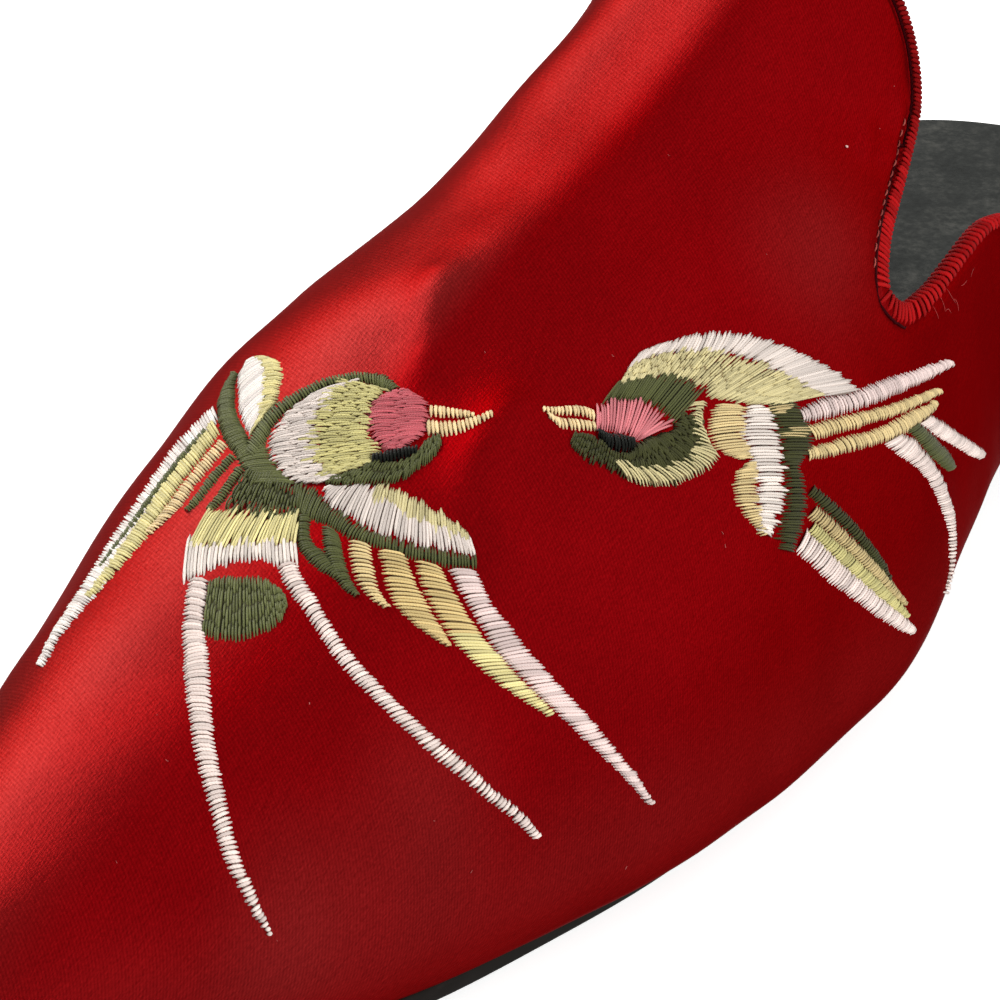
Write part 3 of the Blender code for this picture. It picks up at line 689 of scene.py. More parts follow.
def upper_lines():
    """Both halves of the opening in one run, from the outer wing round to the inner wing."""
    outer = edge_lines(OUTER_EDGE)
    inner = edge_lines(INNER_EDGE)
    for name in ("rise", "foot_rise"):
        inner[name] = 2.0 - inner[name]
    return {name: np.concatenate([outer[name], inner[name][-2::-1]]) for name in Edge._fields}


def line_reach(lines):
    """Length of each line from the opening down to the sole, roughly."""
    along = LENGTH * np.abs(lines["foot"] - lines["station"])
    return along + INSTEP_RISE * np.abs(lines["rise"] - lines["foot_rise"])


def places_along(lines, share):
    """Station and angle at each share of each line; share has a row for each line."""
    def curve(start, bend, end):
        first = (1.0 - share) ** 2 * start[:, None]
        return first + 2.0 * share * (1.0 - share) * bend[:, None] + share * share * end[:, None]

    bend_station = lines["station"] + BEND_SHARE * (lines["foot"] - lines["station"])
    halfway = 0.5 * (lines["rise"] + lines["foot_rise"])
    bend_rise = halfway + lines["swing"] * (lines["rise"] - halfway)
    rise = curve(lines["rise"], bend_rise, lines["foot_rise"])
    return curve(lines["station"], bend_station, lines["foot"]), rise * np.pi / 2.0


def fold_height(points):
    """Sum of the soft folds at points on the last."""
    total = np.zeros(points.shape[:-1])
    for fold in FOLDS:
        path = np.array([last_point(station, rise * np.pi / 2.0) for station, rise in fold.path])
        nearest = np.linalg.norm(points - path[0], axis=-1)
        for start, end in zip(path[:-1], path[1:]):
            span = end - start
            part = np.clip((points - start) @ span / (span @ span), 0.0, 1.0)
            nearest = np.minimum(nearest, np.linalg.norm(points - start - part[..., None] * span, axis=-1))
        total += fold.height * np.exp(-((nearest / fold.width) ** 2))
    return total


def slow_waves(points):
    """Small unevenness of cloth over its backing."""
    return sum(height * np.sin(points @ np.array(turns) + offset) for height, turns, offset in SLOW_WAVES)


def fabric_map(station, angle):
    """Distance round the last from the crest, and along it, as flat cloth coordinates."""
    stations = np.linspace(0.0, 1.0, MAP_STATIONS)
    angles = np.linspace(0.0, np.pi, MAP_ANGLES)
    steps = np.linalg.norm(np.diff(last_point(stations[:, None], angles), axis=1), axis=-1)
    lengths = np.pad(np.cumsum(steps, axis=1), ((0, 0), (1, 0)))
    lengths -= lengths[:, [len(angles) // 2]]
    row = np.clip(station * (len(stations) - 1), 0.0, len(stations) - 1.001)
    place = np.clip(angle / np.pi * (len(angles) - 1), 0.0, len(angles) - 1.001)
    low_row = row.astype(int)
    low_place = place.astype(int)
    row_part = row - low_row
    place_part = place - low_place

    def within(number):
        return lengths[number, low_place] * (1.0 - place_part) + lengths[number, low_place + 1] * place_part

    around = within(low_row) * (1.0 - row_part) + within(low_row + 1) * row_part
    return stacked(around, -LENGTH * station)


def add_object(name, data):
    created = bpy.data.objects.new(name, data)
    bpy.context.scene.collection.objects.link(created)
    return created


def add_mesh(name, points, faces, materials, uv=None, face_material=None, colours=None):
    """A smooth object; uv has a pair for every corner of every face, colours one for every point."""
    mesh = bpy.data.meshes.new(name)
    mesh.from_pydata(points.tolist(), [], faces)
    for material in materials:
        mesh.materials.append(material)
    mesh.polygons.foreach_set("use_smooth", np.ones(len(mesh.polygons), dtype=bool))
    if face_material is not None:
        mesh.polygons.foreach_set("material_index", np.asarray(face_material, dtype=np.int32))
    if uv is not None:
        layer = mesh.uv_layers.new(name="fabric")
        layer.data.foreach_set("uv", np.asarray(uv, dtype=np.float32).ravel())
    if colours is not None:
        layer = mesh.color_attributes.new("thread_colour", "FLOAT_COLOR", "POINT")
        layer.data.foreach_set("color", np.asarray(colours, dtype=np.float32).ravel())
    mesh.update()
    return add_object(name, mesh)


def new_material(name, colour, roughness):
    material = bpy.data.materials.new(name)
    material.use_nodes = True
    tree = material.node_tree
    shader = tree.nodes["Principled BSDF"]
    connect(tree, shader, {"Base Color": (*colour, 1.0), "Roughness": roughness})
    return material, tree, shader


def connect(tree, node, inputs):
    """Set the inputs of a node, or link those that are given the output of another node."""
    for name, value in inputs.items():
        if isinstance(value, bpy.types.NodeSocket):
            tree.links.new(value, node.inputs[name])
        else:
            node.inputs[name].default_value = value


def add_node(tree, kind, output, inputs, **settings):
    """A new node with its inputs and settings. Returns the named output."""
    node = tree.nodes.new("ShaderNode" + kind)
    for name, value in settings.items():
        setattr(node, name, value)
    connect(tree, node, inputs)
    return node.outputs[output]


def coordinates(tree, kind):
    return add_node(tree, "TexCoord", kind, {})


def axis_of(tree, vector, axis):
    return add_node(tree, "SeparateXYZ", axis, {"Vector": vector})


def noise(tree, vector, scale, detail=2.0, roughness=0.5):
    inputs = {"Vector": vector, "Scale": scale, "Detail": detail, "Roughness": roughness}
    return add_node(tree, "TexNoise", "Fac", inputs)


def colour_ramp(tree, factor, stops):
    output = add_node(tree, "ValToRGB", "Color", {"Fac": factor})
    elements = output.node.color_ramp.elements
    while len(elements) < len(stops):
        elements.new(0.5)
    for element, (position, colour) in zip(elements, stops):
        element.position = position
        element.color = (*colour, 1.0)
    return output


def value_range(tree, value, low, high):
    return add_node(tree, "MapRange", "Result", {"Value": value, "To Min": low, "To Max": high})


def soft_step(tree, value, start, end):
    """0 at the start value and 1 at the end value, eased in between."""
    inputs = {"Value": value, "From Min": start, "From Max": end}
    return add_node(tree, "MapRange", "Result", inputs, interpolation_type="SMOOTHSTEP")


def weighted_sum(tree, terms):
    """Sum of (value, weight) pairs."""
    total = 0.0
    for value, weight in terms:
        total = add_node(tree, "Math", "Value", {0: value, 1: weight, 2: total}, operation="MULTIPLY_ADD")
    return total


def product(tree, first, second):
    return add_node(tree, "Math", "Value", {0: first, 1: second}, operation="MULTIPLY")


def mixed(tree, kind, factor, first, second):
    return add_node(tree, "Mix", "Result", {"Factor": factor, "A": first, "B": second}, data_type=kind)


def bump(tree, height, distance, strength, below=None):
    inputs = {"Height": height, "Distance": distance, "Strength": strength}
    if below is not None:
        inputs["Normal"] = below
    return add_node(tree, "Bump", "Normal", inputs)


def mapped(tree, vector, rotation=0.0, scale=(1.0, 1.0, 1.0)):
    inputs = {"Vector": vector, "Rotation": (0.0, 0.0, rotation), "Scale": scale}
    return add_node(tree, "Mapping", "Vector", inputs)


def wave_bands(tree, vector, pitch):
    """Bands across X, one every pitch metres."""
    inputs = {"Vector": vector, "Scale": UNIT_WAVE_PITCH / pitch, "Distortion": 0.6, "Detail": 1.0}
    return add_node(tree, "TexWave", "Fac", inputs)


def painted_sheen(tree, cloth):
    """How strongly the painted sheen of the highlight shows, from the distances round and along the last.
    """
    around = axis_of(tree, cloth, "X")
    along = axis_of(tree, cloth, "Y")
    tongue = soft_step(tree, weighted_sum(tree, ((around, 1.0), (along, PAINTED_SHEEN_SLANT))), *PAINTED_SHEEN_TONGUE)
    toe = soft_step(tree, around, *PAINTED_SHEEN_TOE)
    changed = mixed(tree, "FLOAT", soft_step(tree, along, *PAINTED_SHEEN_CHANGES), tongue, toe)
    stronger = value_range(tree, soft_step(tree, around, *PAINTED_SHEEN_FULL), PAINTED_SHEEN_AT_CREST, 1.0)
    return product(tree, changed, stronger)


def satin_material():
    """Warp-faced satin: a fine diagonal grain with streaks along it."""
    material, tree, shader = new_material("red_satin", (0.33, 0.003, 0.005), 0.38)
    cloth = coordinates(tree, "UV")
    streaks = noise(tree, mapped(tree, cloth, WARP_ANGLE, (3600.0, 420.0, 1.0)), 1.0, 3.0, 0.6)
    grain = noise(tree, mapped(tree, cloth, WARP_ANGLE, (5200.0, 2400.0, 1.0)), 1.0, 2.0, 0.7)
    cloudy = noise(tree, cloth, 60.0, 4.0)
    twill = wave_bands(tree, mapped(tree, cloth, WARP_ANGLE), TWILL_PITCH)
    shade = weighted_sum(tree, ((streaks, 0.30), (grain, 0.54), (cloudy, 0.15), (twill, 0.10)))
    near_floor = soft_step(tree, axis_of(tree, coordinates(tree, "Object"), "Z"), *DUSTY_ABOVE_FLOOR)
    terms = [(painted_sheen(tree, cloth), 1.0), (near_floor, FLOOR_DUST_STRENGTH)]
    # paler places of the satin, mixed towards its pale colours
    for around, along, radius in PALER_PLACES:
        inputs = {0: cloth, 1: (around, along, 0.0)}
        away = add_node(tree, "VectorMath", "Value", inputs, operation="DISTANCE")
        terms.append((soft_step(tree, away, radius, 0.0), PALER_PLACE_STRENGTH))
    # The deep colours are mixed towards the pale ones by the painted sheen of the highlight, dust near the
    # floor and the paler places
    deep = colour_ramp(tree, shade, SATIN_DEEP)
    sheen_and_dust = colour_ramp(tree, shade, SATIN_PAINTED_SHEEN_AND_DUST)
    normal = bump(tree, twill, 0.00003, 0.12)
    normal = bump(tree, streaks, 0.00008, 0.38, normal)
    normal = bump(tree, grain, 0.00007, 0.55, normal)
    connect(tree, shader, {
        "Base Color": mixed(tree, "RGBA", weighted_sum(tree, terms), deep, sheen_and_dust),
        "Roughness": value_range(tree, cloudy, 0.27, 0.35),
        "Normal": normal,
        "Metallic": 0.75,
        "Specular IOR Level": 0.0,
        "Specular Tint": (0.45, 0.03, 0.03, 1.0),
    })
    return material


def lining_material():
    material, tree, shader = new_material("black_lining", (0.012, 0.011, 0.011), 0.7)
    grain = noise(tree, coordinates(tree, "Object"), 1400.0, 3.0)
    colour = colour_ramp(tree, grain, LINING_COLOURS)
    connect(tree, shader, {"Base Color": colour, "Normal": bump(tree, grain, 0.0001, 0.4)})
    return material


def thread_material(name, roughness, gloss, sheen):
    material, tree, shader = new_material(name, (0.5, 0.5, 0.5), roughness)
    twist = wave_bands(tree, mapped(tree, coordinates(tree, "UV"), TWIST_ANGLE), TWIST_PITCH)
    connect(tree, shader, {
        "Base Color": add_node(tree, "VertexColor", "Color", {}, layer_name="thread_colour"),
        "Normal": bump(tree, twist, 0.00005, 0.5),
        "Sheen Weight": sheen,
        "Specular IOR Level": gloss,
    })
    return material


def leather_material():
    material, tree, shader = new_material("insole_leather", (0.03, 0.03, 0.03), 0.5)
    place = coordinates(tree, "Object")
    grain = noise(tree, place, 1500.0, 4.0, 0.6)
    dust = noise(tree, place, 130.0, 6.0, 0.65)
    specks = noise(tree, place, 900.0, 5.0, 0.7)
    # painted shade: lighter towards the heel, darker under the upper towards the toe
    lit_towards_heel = soft_step(tree, axis_of(tree, place, "Y"), *INSOLE_PAINTED_SHADE)
    shade = weighted_sum(tree, ((product(tree, dust, specks), 1.0), (lit_towards_heel, 0.10)))
    connect(tree, shader, {
        "Base Color": colour_ramp(tree, shade, LEATHER_COLOURS),
        "Roughness": value_range(tree, dust, 0.45, 0.68),
        "Normal": bump(tree, grain, 0.0002, 0.25),
        "Specular IOR Level": 0.10,
    })
    return material


def sole_material():
    material, tree, shader = new_material("sole_black", (0.012, 0.011, 0.010), 0.5)
    place = coordinates(tree, "Object")
    grain = noise(tree, place, 700.0, 5.0, 0.6)
    scuffs = noise(tree, mapped(tree, place, 0.0, (1.0, 0.15, 1.0)), 260.0, 6.0, 0.7)
    connect(tree, shader, {
        "Base Color": colour_ramp(tree, scuffs, SOLE_COLOURS),
        "Roughness": value_range(tree, scuffs, 0.45, 0.65),
        "Normal": bump(tree, grain, 0.00015, 0.3),
        "Specular IOR Level": 0.15,
    })
    return material


def weld(points, faces):
    """Points in the same place become one and collapsed faces go.

    Returns the numbers of the points that stay, the faces that stay and their old numbers."""
    _, first, number = np.unique(np.round(points, 7), axis=0, return_index=True, return_inverse=True)
    clean = []
    kept = []
    for position, face in enumerate(number.ravel()[faces].tolist()):
        corners = list(dict.fromkeys(face))
        if len(corners) > 2:
            clean.append(corners)
            kept.append(position)
    return first, clean, np.array(kept)


def grid_faces(lines, rows, first=0):
    """Quads between the lines of a grid of points, each line with so many rows."""
    line, row = np.meshgrid(np.arange(lines - 1), np.arange(rows - 1), indexing="ij")
    here = (first + line * rows + row).ravel()
    return stacked(here, here + rows, here + rows + 1, here + 1)


def turned_over(faces):
    """The same quads facing the other way."""
    return faces[:, [0, 3, 2, 1]]


def band_faces(run, beside):
    """Quads between two runs of point numbers."""
    return stacked(run[:-1], run[1:], beside[1:], beside[:-1])


def distance_from_line(points, line):
    """Shortest distance from each point to a line of points, which is filled in first."""
    shares = np.linspace(0.0, 1.0, LINE_FILL, endpoint=False)[None, :, None]
    filled = (line[:-1, None] * (1.0 - shares) + line[1:, None] * shares).reshape(-1, 3)
    tree = KDTree(len(filled))
    for number, place in enumerate(filled):
        tree.insert(place, number)
    tree.balance()
    return np.array([tree.find(place)[2] for place in points.reshape(-1, 3)]).reshape(points.shape[:-1])


def loop_reach(from_notch):
    """How far the loops come down the outer face at a distance from the nearer notch."""
    return LOOP_REACH + LOOP_LONGER * np.exp(-((from_notch / LOOP_LONGER_ALONG) ** 2))


def make_upper(satin, lining):
    """The closed wall, satin outside and lining inside, with its opening and a search tree of the satin."""
    lines = upper_lines()
    reach = np.maximum(line_reach(lines), 1e-6)[:, None]
    stretch = np.minimum(EDGE_STRETCH / reach, EDGE_STRETCH_LIMIT)
    near_edge = np.linspace(0.0, 1.0, EDGE_ROWS, endpoint=False)
    body = 1.0 - (1.0 - np.linspace(0.0, 1.0, BODY_ROWS)) ** BODY_PACKING
    share = np.concatenate([stretch * near_edge, stretch + (1.0 - stretch) * body], axis=1)
    station, angle = places_along(lines, share)
    base = last_point(station, angle)
    normal = last_normal(station, angle)
    below_edge = distance_from_line(base, base[:, 0])
    settled = share_between(below_edge, 0.0, SETTLED_BELOW_EDGE)
    settled = settled * share_between(base[..., 2] - feather_height(station), 0.0, SETTLED_ABOVE_SOLE)
    height = (fold_height(base) + slow_waves(base)) * settled
    middle = len(reach) // 2
    notches = (int(np.argmax(station[:middle, 0])), middle + int(np.argmax(station[middle:, 0])))
    along = length_along(base[:, 0])
    from_notch = np.min([np.abs(along - along[notch]) for notch in notches], axis=0)
    offset = loop_reach(from_notch)[:, None] + GROOVE_BESIDE_LOOPS
    groove = np.exp(-(((below_edge - offset) / GROOVE_WIDTH) ** 2))
    height -= GROOVE_DEPTH * groove * np.clip(reach / GROOVE_FADES - 0.5, 0.0, 1.0)
    outside = base + height[..., None] * normal

    lining_share = 1.0 - (1.0 - np.linspace(0.0, 1.0, LINING_ROWS)) ** LINING_PACKING
    lining_station, lining_angle = places_along(lines, np.tile(lining_share, (len(reach), 1)))
    behind = hollow_station(lining_station)
    sunk = np.minimum(fold_height(last_point(behind, lining_angle)), 0.0)
    inside = hollow_wall(behind, lining_angle) + sunk[..., None] * last_normal(behind, lining_angle)

    count, rows = station.shape
    shift = count * rows
    points = np.concatenate([outside.reshape(-1, 3), inside.reshape(-1, 3)])
    cloth = (fabric_map(station, angle), fabric_map(lining_station, lining_angle))
    cloth = np.concatenate([flat.reshape(-1, 2) for flat in cloth])
    satin_faces = grid_faces(count, rows)
    lining_faces = turned_over(grid_faces(count, LINING_ROWS, shift))
    top = np.arange(count) * rows
    top_inside = shift + np.arange(count) * LINING_ROWS
    rim = band_faces(top_inside, top)
    hem = band_faces(top + rows - 1, top_inside + LINING_ROWS - 1)
    outer_faces = np.concatenate([satin_faces, rim, hem])
    material_number = np.repeat([0, 1], [len(outer_faces), len(lining_faces)])
    first, faces, kept = weld(points, np.concatenate([outer_faces, lining_faces]))
    uv = cloth[first][np.concatenate(faces)]
    created = add_mesh("upper_dressed", points[first], faces, [satin, lining], uv, material_number[kept])
    tree = BVHTree.FromPolygons(outside.reshape(-1, 3).tolist(), satin_faces.tolist())
    opening = {"edge": outside[:, 0], "back": inside[:, 0], "normal": normal[:, 0], "notches": notches}
    return created, opening, tree


def strand_mesh(name, strands, material):
    """One mesh of many rounded threads.

    A strand is (points, normals, half width, half height, colour); its ends are drawn in."""
    turn = np.arange(THREAD_SIDES) * 2.0 * np.pi / THREAD_SIDES
    points, faces, uv, colours = [], [], [], []
    total = 0
    for path, normals, half_width, half_height, colour in strands:
        tangent = unit(np.gradient(path, axis=0))
        side = unit(np.cross(normals, tangent))
        up = np.cross(tangent, side)
        drawn_in = np.ones((len(path), 1))
        drawn_in[[0, -1]] = THREAD_END
        ring = path[:, None] + side[:, None] * (half_width * drawn_in * np.cos(turn))[..., None]
        ring = ring + up[:, None] * (half_height * drawn_in * np.sin(turn))[..., None]
        step, corner = np.meshgrid(np.arange(len(path) - 1), np.arange(THREAD_SIDES), indexing="ij")
        step = step.ravel()
        corner = corner.ravel()
        after = (corner + 1) % THREAD_SIDES
        here = step * THREAD_SIDES
        ahead = here + THREAD_SIDES
        quads = stacked(here + corner, here + after, ahead + after, ahead + corner)
        along = length_along(path)
        along = stacked(along[step], along[step], along[step + 1], along[step + 1])
        around = stacked(corner, corner + 1, corner + 1, corner) * (2.0 * np.pi * half_width / THREAD_SIDES)
        caps = np.array([(3, 2, 1, 0), (5, 4, 3, 0), (0, 1, 2, 3), (0, 3, 4, 5)])
        caps[2:] += (len(path) - 1) * THREAD_SIDES
        points.append(ring.reshape(-1, 3))
        faces.append(np.concatenate([quads, caps]) + total)
        uv.append(np.concatenate([stacked(along, around), np.zeros((4, 4, 2))]))
        colours.append(np.tile((*colour, 1.0), (len(path) * THREAD_SIDES, 1)))
        total += len(path) * THREAD_SIDES
    points, faces, uv, colours = map(np.concatenate, (points, faces, uv, colours))
    return add_mesh(name, points, faces.tolist(), [material], uv, colours=colours)


def shaded(colour, random, spread):
    """The colour a little lighter or darker."""
    return np.clip(np.array(colour) * (1.0 + spread * random.uniform(-1.0, 1.0)), 0.0, 1.0)


def edge_frames(opening, pitch):
    """Evenly spaced places along the opening with the directions along it, down the upper and outward."""
    edge = opening["edge"]
    along = length_along(edge)
    at = np.arange(0.5 * pitch, along[-1], pitch)

    def spread(values):
        return stacked(*(np.interp(at, along, values[:, axis]) for axis in range(3)))

    tangent = unit(spread(np.gradient(edge, axis=0)))
    outward = spread(opening["normal"])
    outward = unit(outward - tangent * np.sum(outward * tangent, axis=-1, keepdims=True))
    return {
        "edge": spread(edge),
        "back": spread(opening["back"]),
        "tangent": tangent,
        "down": np.cross(outward, tangent),
        "outward": outward,
        "from_notch": np.min([np.abs(at - along[number]) for number in opening["notches"]], axis=0),
        "notches": [int(along[number] / pitch) for number in opening["notches"]],
    }


def make_overcast(opening, material):
    """Loops of thread over the edge of the opening, and the pale raw edge behind them."""
    random = np.random.default_rng(RANDOM_SEED)
    places = edge_frames(opening, LOOP_PITCH)
    first, last = places["notches"]
    strands = []
    for number, from_notch in enumerate(places["from_notch"]):
        past_notch = max(first - number, number - last) / LOOPS_PAST_NOTCH - 1.0
        on_wing = min(max(past_notch, 0.0), 1.0)
        if on_wing and number % 2:
            continue
        edge, back, tangent, down, outward = (
            places[name][number] for name in ("edge", "back", "tangent", "down", "outward"))
        lean = tangent * LOOP_PITCH * random.uniform(*LOOP_LEAN)
        away = tangent * (-on_wing if number < first else on_wing)
        lean = lean * (1.0 - on_wing) + away * LOOP_SLANT_ON_WING[0]
        slant = away * LOOP_SLANT_ON_WING[1]
        reach = loop_reach(from_notch) * random.uniform(*LOOP_REACH_SPREAD)
        raised = LOOP_RAISE * random.uniform(*LOOP_RAISE_SPREAD)
        path = np.array([
            edge + down * reach - outward * LOOP_FRONT_SUNK + lean,
            edge + down * reach * 0.80 + outward * raised * 0.75 + lean * 0.8,
            edge + down * reach * 0.42 + outward * raised * 1.15 + lean * 0.5,
            edge + down * reach * 0.05 + outward * raised * 0.80,
            0.5 * (edge + back) - down * LOOP_OVER_EDGE + slant * 0.5,
            back + down * reach * 0.05 - outward * raised * 0.80 + slant,
            back + down * LOOP_BACK_REACH * 0.5 - outward * raised * 0.9 + slant,
            back + down * LOOP_BACK_REACH + outward * LOOP_BACK_SUNK + slant,
        ])
        rounding = -down * 0.8
        normals = [outward] * 3 + [outward + rounding, -down, rounding - outward] + [-outward] * 2
        colour = shaded(RED_THREAD, random, LOOP_COLOUR_SPREAD)
        # painted shade: loops on the tongue darker further from the notches
        if first < number < last:
            colour = colour * (1.0 - np.interp(from_notch, LOOP_PAINTED_SHADE_FROM, (0.0, LOOP_PAINTED_SHADE)))
        half_width = LOOP_HALF_WIDTH * (1.0 + LOOPS_WIDER_ON_WING * on_wing)
        strands.append((path, unit(np.array(normals)), half_width, LOOP_HALF_HEIGHT, colour))
    tongue = slice(first, last)
    raw_edge = 0.5 * (places["edge"] + places["back"]) - places["down"] * RAW_EDGE_RAISE
    thickness = (RAW_EDGE_HALF_WIDTH, RAW_EDGE_HALF_WIDTH)
    strands.append((raw_edge[tongue], -places["down"][tongue], *thickness, RAW_EDGE_COLOUR))
    return strand_mesh("edge_overcast", strands, material)


def make_running_stitch(opening, tree, material):
    """The dark seam line beside the loops of the tongue, which is a seam and painted shade of its groove,
    and the dashes inside it near the notches.
    """
    random = np.random.default_rng(RANDOM_SEED + 1)
    step = RUNNING_DASH / (len(RUNNING_HEIGHTS) - 1)
    places = edge_frames(opening, step)
    first, last = places["notches"]
    beside = loop_reach(places["from_notch"])[:, None] * places["down"] + places["edge"]

    def strand(numbers, aside, heights, half_width, colour):
        path = []
        normals = []
        for number, raised in zip(numbers, heights):
            place = Vector(beside[number] + places["down"][number] * aside)
            location, normal, _, _ = tree.find_nearest(place)
            path.append(np.array(location) + raised * np.array(normal))
            normals.append(np.array(normal))
        return np.array(path), np.array(normals), half_width, half_width * SEAM_FLATNESS, colour

    # the dark seam line, partly painted shade of the groove
    seam = range(first - SEAM_PAST_NOTCH, last + SEAM_PAST_NOTCH)
    strands = [strand(seam, SEAM_BESIDE_LOOPS, [0.0] * len(seam), SEAM_HALF_WIDTH, SEAM_AND_GROOVE_SHADE_COLOUR)]
    start = first + RUNNING_FROM_NOTCH
    while start + len(RUNNING_HEIGHTS) < last - RUNNING_FROM_NOTCH:
        if places["from_notch"][start] < RUNNING_ALONG:
            aside = RUNNING_BESIDE_LOOPS + random.uniform(-RUNNING_WANDER, RUNNING_WANDER)
            colour = shaded(RUNNING_COLOUR, random, RUNNING_COLOUR_SPREAD)
            dash = range(start, start + len(RUNNING_HEIGHTS))
            strands.append(strand(dash, aside, RUNNING_HEIGHTS, RUNNING_HALF_WIDTH, colour))
        start += int(round(RUNNING_PERIOD / step * random.uniform(*RUNNING_PERIOD_SPREAD)))
    return strand_mesh("edge_running_stitch", strands, material)


def camera_axes():
    """Camera position and its right, up and forward directions."""
    azimuth, elevation = np.radians((CAMERA_AZIMUTH, CAMERA_ELEVATION))
    level = np.cos(elevation)
    back = np.array([np.sin(azimuth) * level, -np.cos(azimuth) * level, np.sin(elevation)])
    right = unit(np.cross(-back, (0.0, 0.0, 1.0)))
    return np.array(CAMERA_TARGET) + CAMERA_DISTANCE * back, right, np.cross(right, -back), -back


def sight_line(tree, axes, pixel):
    """Where the sight line through a pixel of the photograph meets the satin, and the normal there."""
    position, right, up, forward = axes
    aside = (np.asarray(pixel, dtype=float) - PHOTO_SIDE / 2.0) / FOCAL_PIXELS
    ray = unit(forward + aside[0] * right - aside[1] * up)
    location, normal, _, _ = tree.ray_cast(Vector(position), Vector(ray))
    if location is None:
        return None
    normal = np.array(normal)
    return np.array(location), normal if normal @ ray < 0.0 else -normal


def satin_under_pixel(tree, axes, pixel):
    """As sight_line, but a line that passes beside the shoe is turned inwards until it meets it."""
    pixel = np.array(pixel, dtype=float)
    for _ in range(OFF_SHOE_LIMIT):
        met = sight_line(tree, axes, pixel)
        if met is not None:
            return met
        pixel = pixel + unit(PHOTO_SIDE / 2.0 - pixel)
    raise ValueError("a stitch lies too far off the shoe")


def spans_on_satin(tree, axes, pixels):
    """Distances on the satin between neighbouring pixels, in pixels seen from straight above."""
    places = np.array([satin_under_pixel(tree, axes, pixel)[0] for pixel in pixels])
    return np.linalg.norm(np.diff(places, axis=0), axis=-1) * FOCAL_PIXELS / CAMERA_DISTANCE


def patch_rungs(patch, tree, axes, random):
    """All stitches of a patch as start and end pixels, filled in between its rungs."""
    rungs = np.array(patch.rungs, dtype=float)
    start_spans = spans_on_satin(tree, axes, rungs[:, :2])
    end_spans = spans_on_satin(tree, axes, rungs[:, 2:])
    spans = 0.5 * (np.maximum(start_spans, end_spans) + 0.5 * (start_spans + end_spans))
    knots = np.concatenate([[0.0], np.cumsum(np.maximum(spans, 0.1))])
    count = max(int(round(knots[-1] / patch.pitch)), 2)
    at = np.linspace(0.0, knots[-1], count)
    at[1:-1] += THREAD_JITTER * at[1] * random.uniform(-1.0, 1.0, count - 2)
    filled = stacked(*(smooth(knots, place, at) for place in rungs.T))
    return filled[:, :2], filled[:, 2:]


def stitch_strand(tree, axes, start, end, raised, thickness, colour):
    """One stitch over the satin between two pixels, its ends pulled down into the cloth."""
    count = max(int(np.ceil(np.linalg.norm(end - start) / STITCH_STEP)) + 1, 4)
    path = []
    normals = []
    for share in np.linspace(0.0, 1.0, count):
        place, normal = satin_under_pixel(tree, axes, start + share * (end - start))
        arch = 1.0 - abs(2.0 * share - 1.0) ** 3
        path.append(place + normal * (raised * arch - THREAD_SUNK * (1.0 - arch)))
        normals.append(normal)
    return np.array(path), np.array(normals), *thickness, colour


def patch_padding(patch, tree, axes, starts, ends):
    """Flat strips below the stitches of a patch, darker than its threads as painted shade between them."""
    colour = np.array(PADDING_PAINTED_SHADE) * np.array(patch.colour)
    raised = PADDING_RAISE + LAYER_RAISE * patch.lift
    thickness = (PADDING_FILL * PADDING_EVERY * patch.pitch, PADDING_HALF_HEIGHT)
    strands = []
    for start, end in zip(starts[1:-1:PADDING_EVERY], ends[1:-1:PADDING_EVERY]):
        limit = PADDING_INSET_LIMIT * np.linalg.norm(end - start)
        inset = unit(end - start) * min(PADDING_INSET + patch.ragged, limit)
        strands.append(stitch_strand(tree, axes, start + inset, end - inset, raised, thickness, colour))
    return strands


def patch_stitches(patch, tree, axes, starts, ends, random):
    """The stitches of a patch, in rows that run over one another."""
    strands = []
    half_width = THREAD_FILL * patch.pitch * patch.fill
    for start, end in zip(starts, ends):
        line = unit(end - start)
        uneven = patch.ragged * random.uniform(-1.0, 1.0, 2)
        uneven += np.array(patch.blend) * random.uniform(0.0, 1.0, 2)
        start = start - line * uneven[0]
        end = end + line * uneven[1]
        breaks = [0.0]
        for row in range(1, patch.rows):
            breaks.append((row + ROW_JITTER * random.uniform(-1.0, 1.0)) / patch.rows)
        breaks.append(1.0)
        for low, high in zip(breaks[:-1], breaks[1:]):
            low_end = start + (end - start) * max(low - ROW_OVERLAP / patch.rows, 0.0)
            high_end = start + (end - start) * min(high + ROW_OVERLAP / patch.rows, 1.0)
            raised = THREAD_RAISE + LAYER_RAISE * patch.lift + random.uniform(*RAISE_JITTER)
            thickness = (half_width * random.uniform(*WIDTH_JITTER), half_width * THREAD_FLATNESS)
            colour = shaded(patch.colour, random, THREAD_SPREAD)
            strands.append(stitch_strand(tree, axes, low_end, high_end, raised, thickness, colour))
    return strands


def make_embroidery(name, patches, tree, axes, material, seed):
    random = np.random.default_rng(seed)
    strands = []
    for patch in patches:
        starts, ends = patch_rungs(patch, tree, axes, random)
        strands += patch_padding(patch, tree, axes, starts, ends)
        strands += patch_stitches(patch, tree, axes, starts, ends, random)
    return strand_mesh(name, strands, material)


def feather_sides(station):
    """Outer and inner X of the feather line."""
    return last_point(station, 0.0)[..., 0], last_point(station, np.pi)[..., 0]


def spread_ring(station, outward, height):
    """A ring moved out from the feather line, closing to a point where the last does."""
    outer, inner = feather_sides(station)
    middle = 0.5 * (outer + inner)
    half = 0.5 * (outer - inner)
    wider = np.where(half > 1e-5, np.maximum(half + outward, 0.0), half)
    return middle + wider, middle - wider, height


def slab_stations(first, last):
    """Stations set closer together towards both ends."""
    spread = np.linspace(round_ended(first), round_ended(last), SLAB_STATIONS)
    return 0.5 * (1.0 - np.cos(spread))


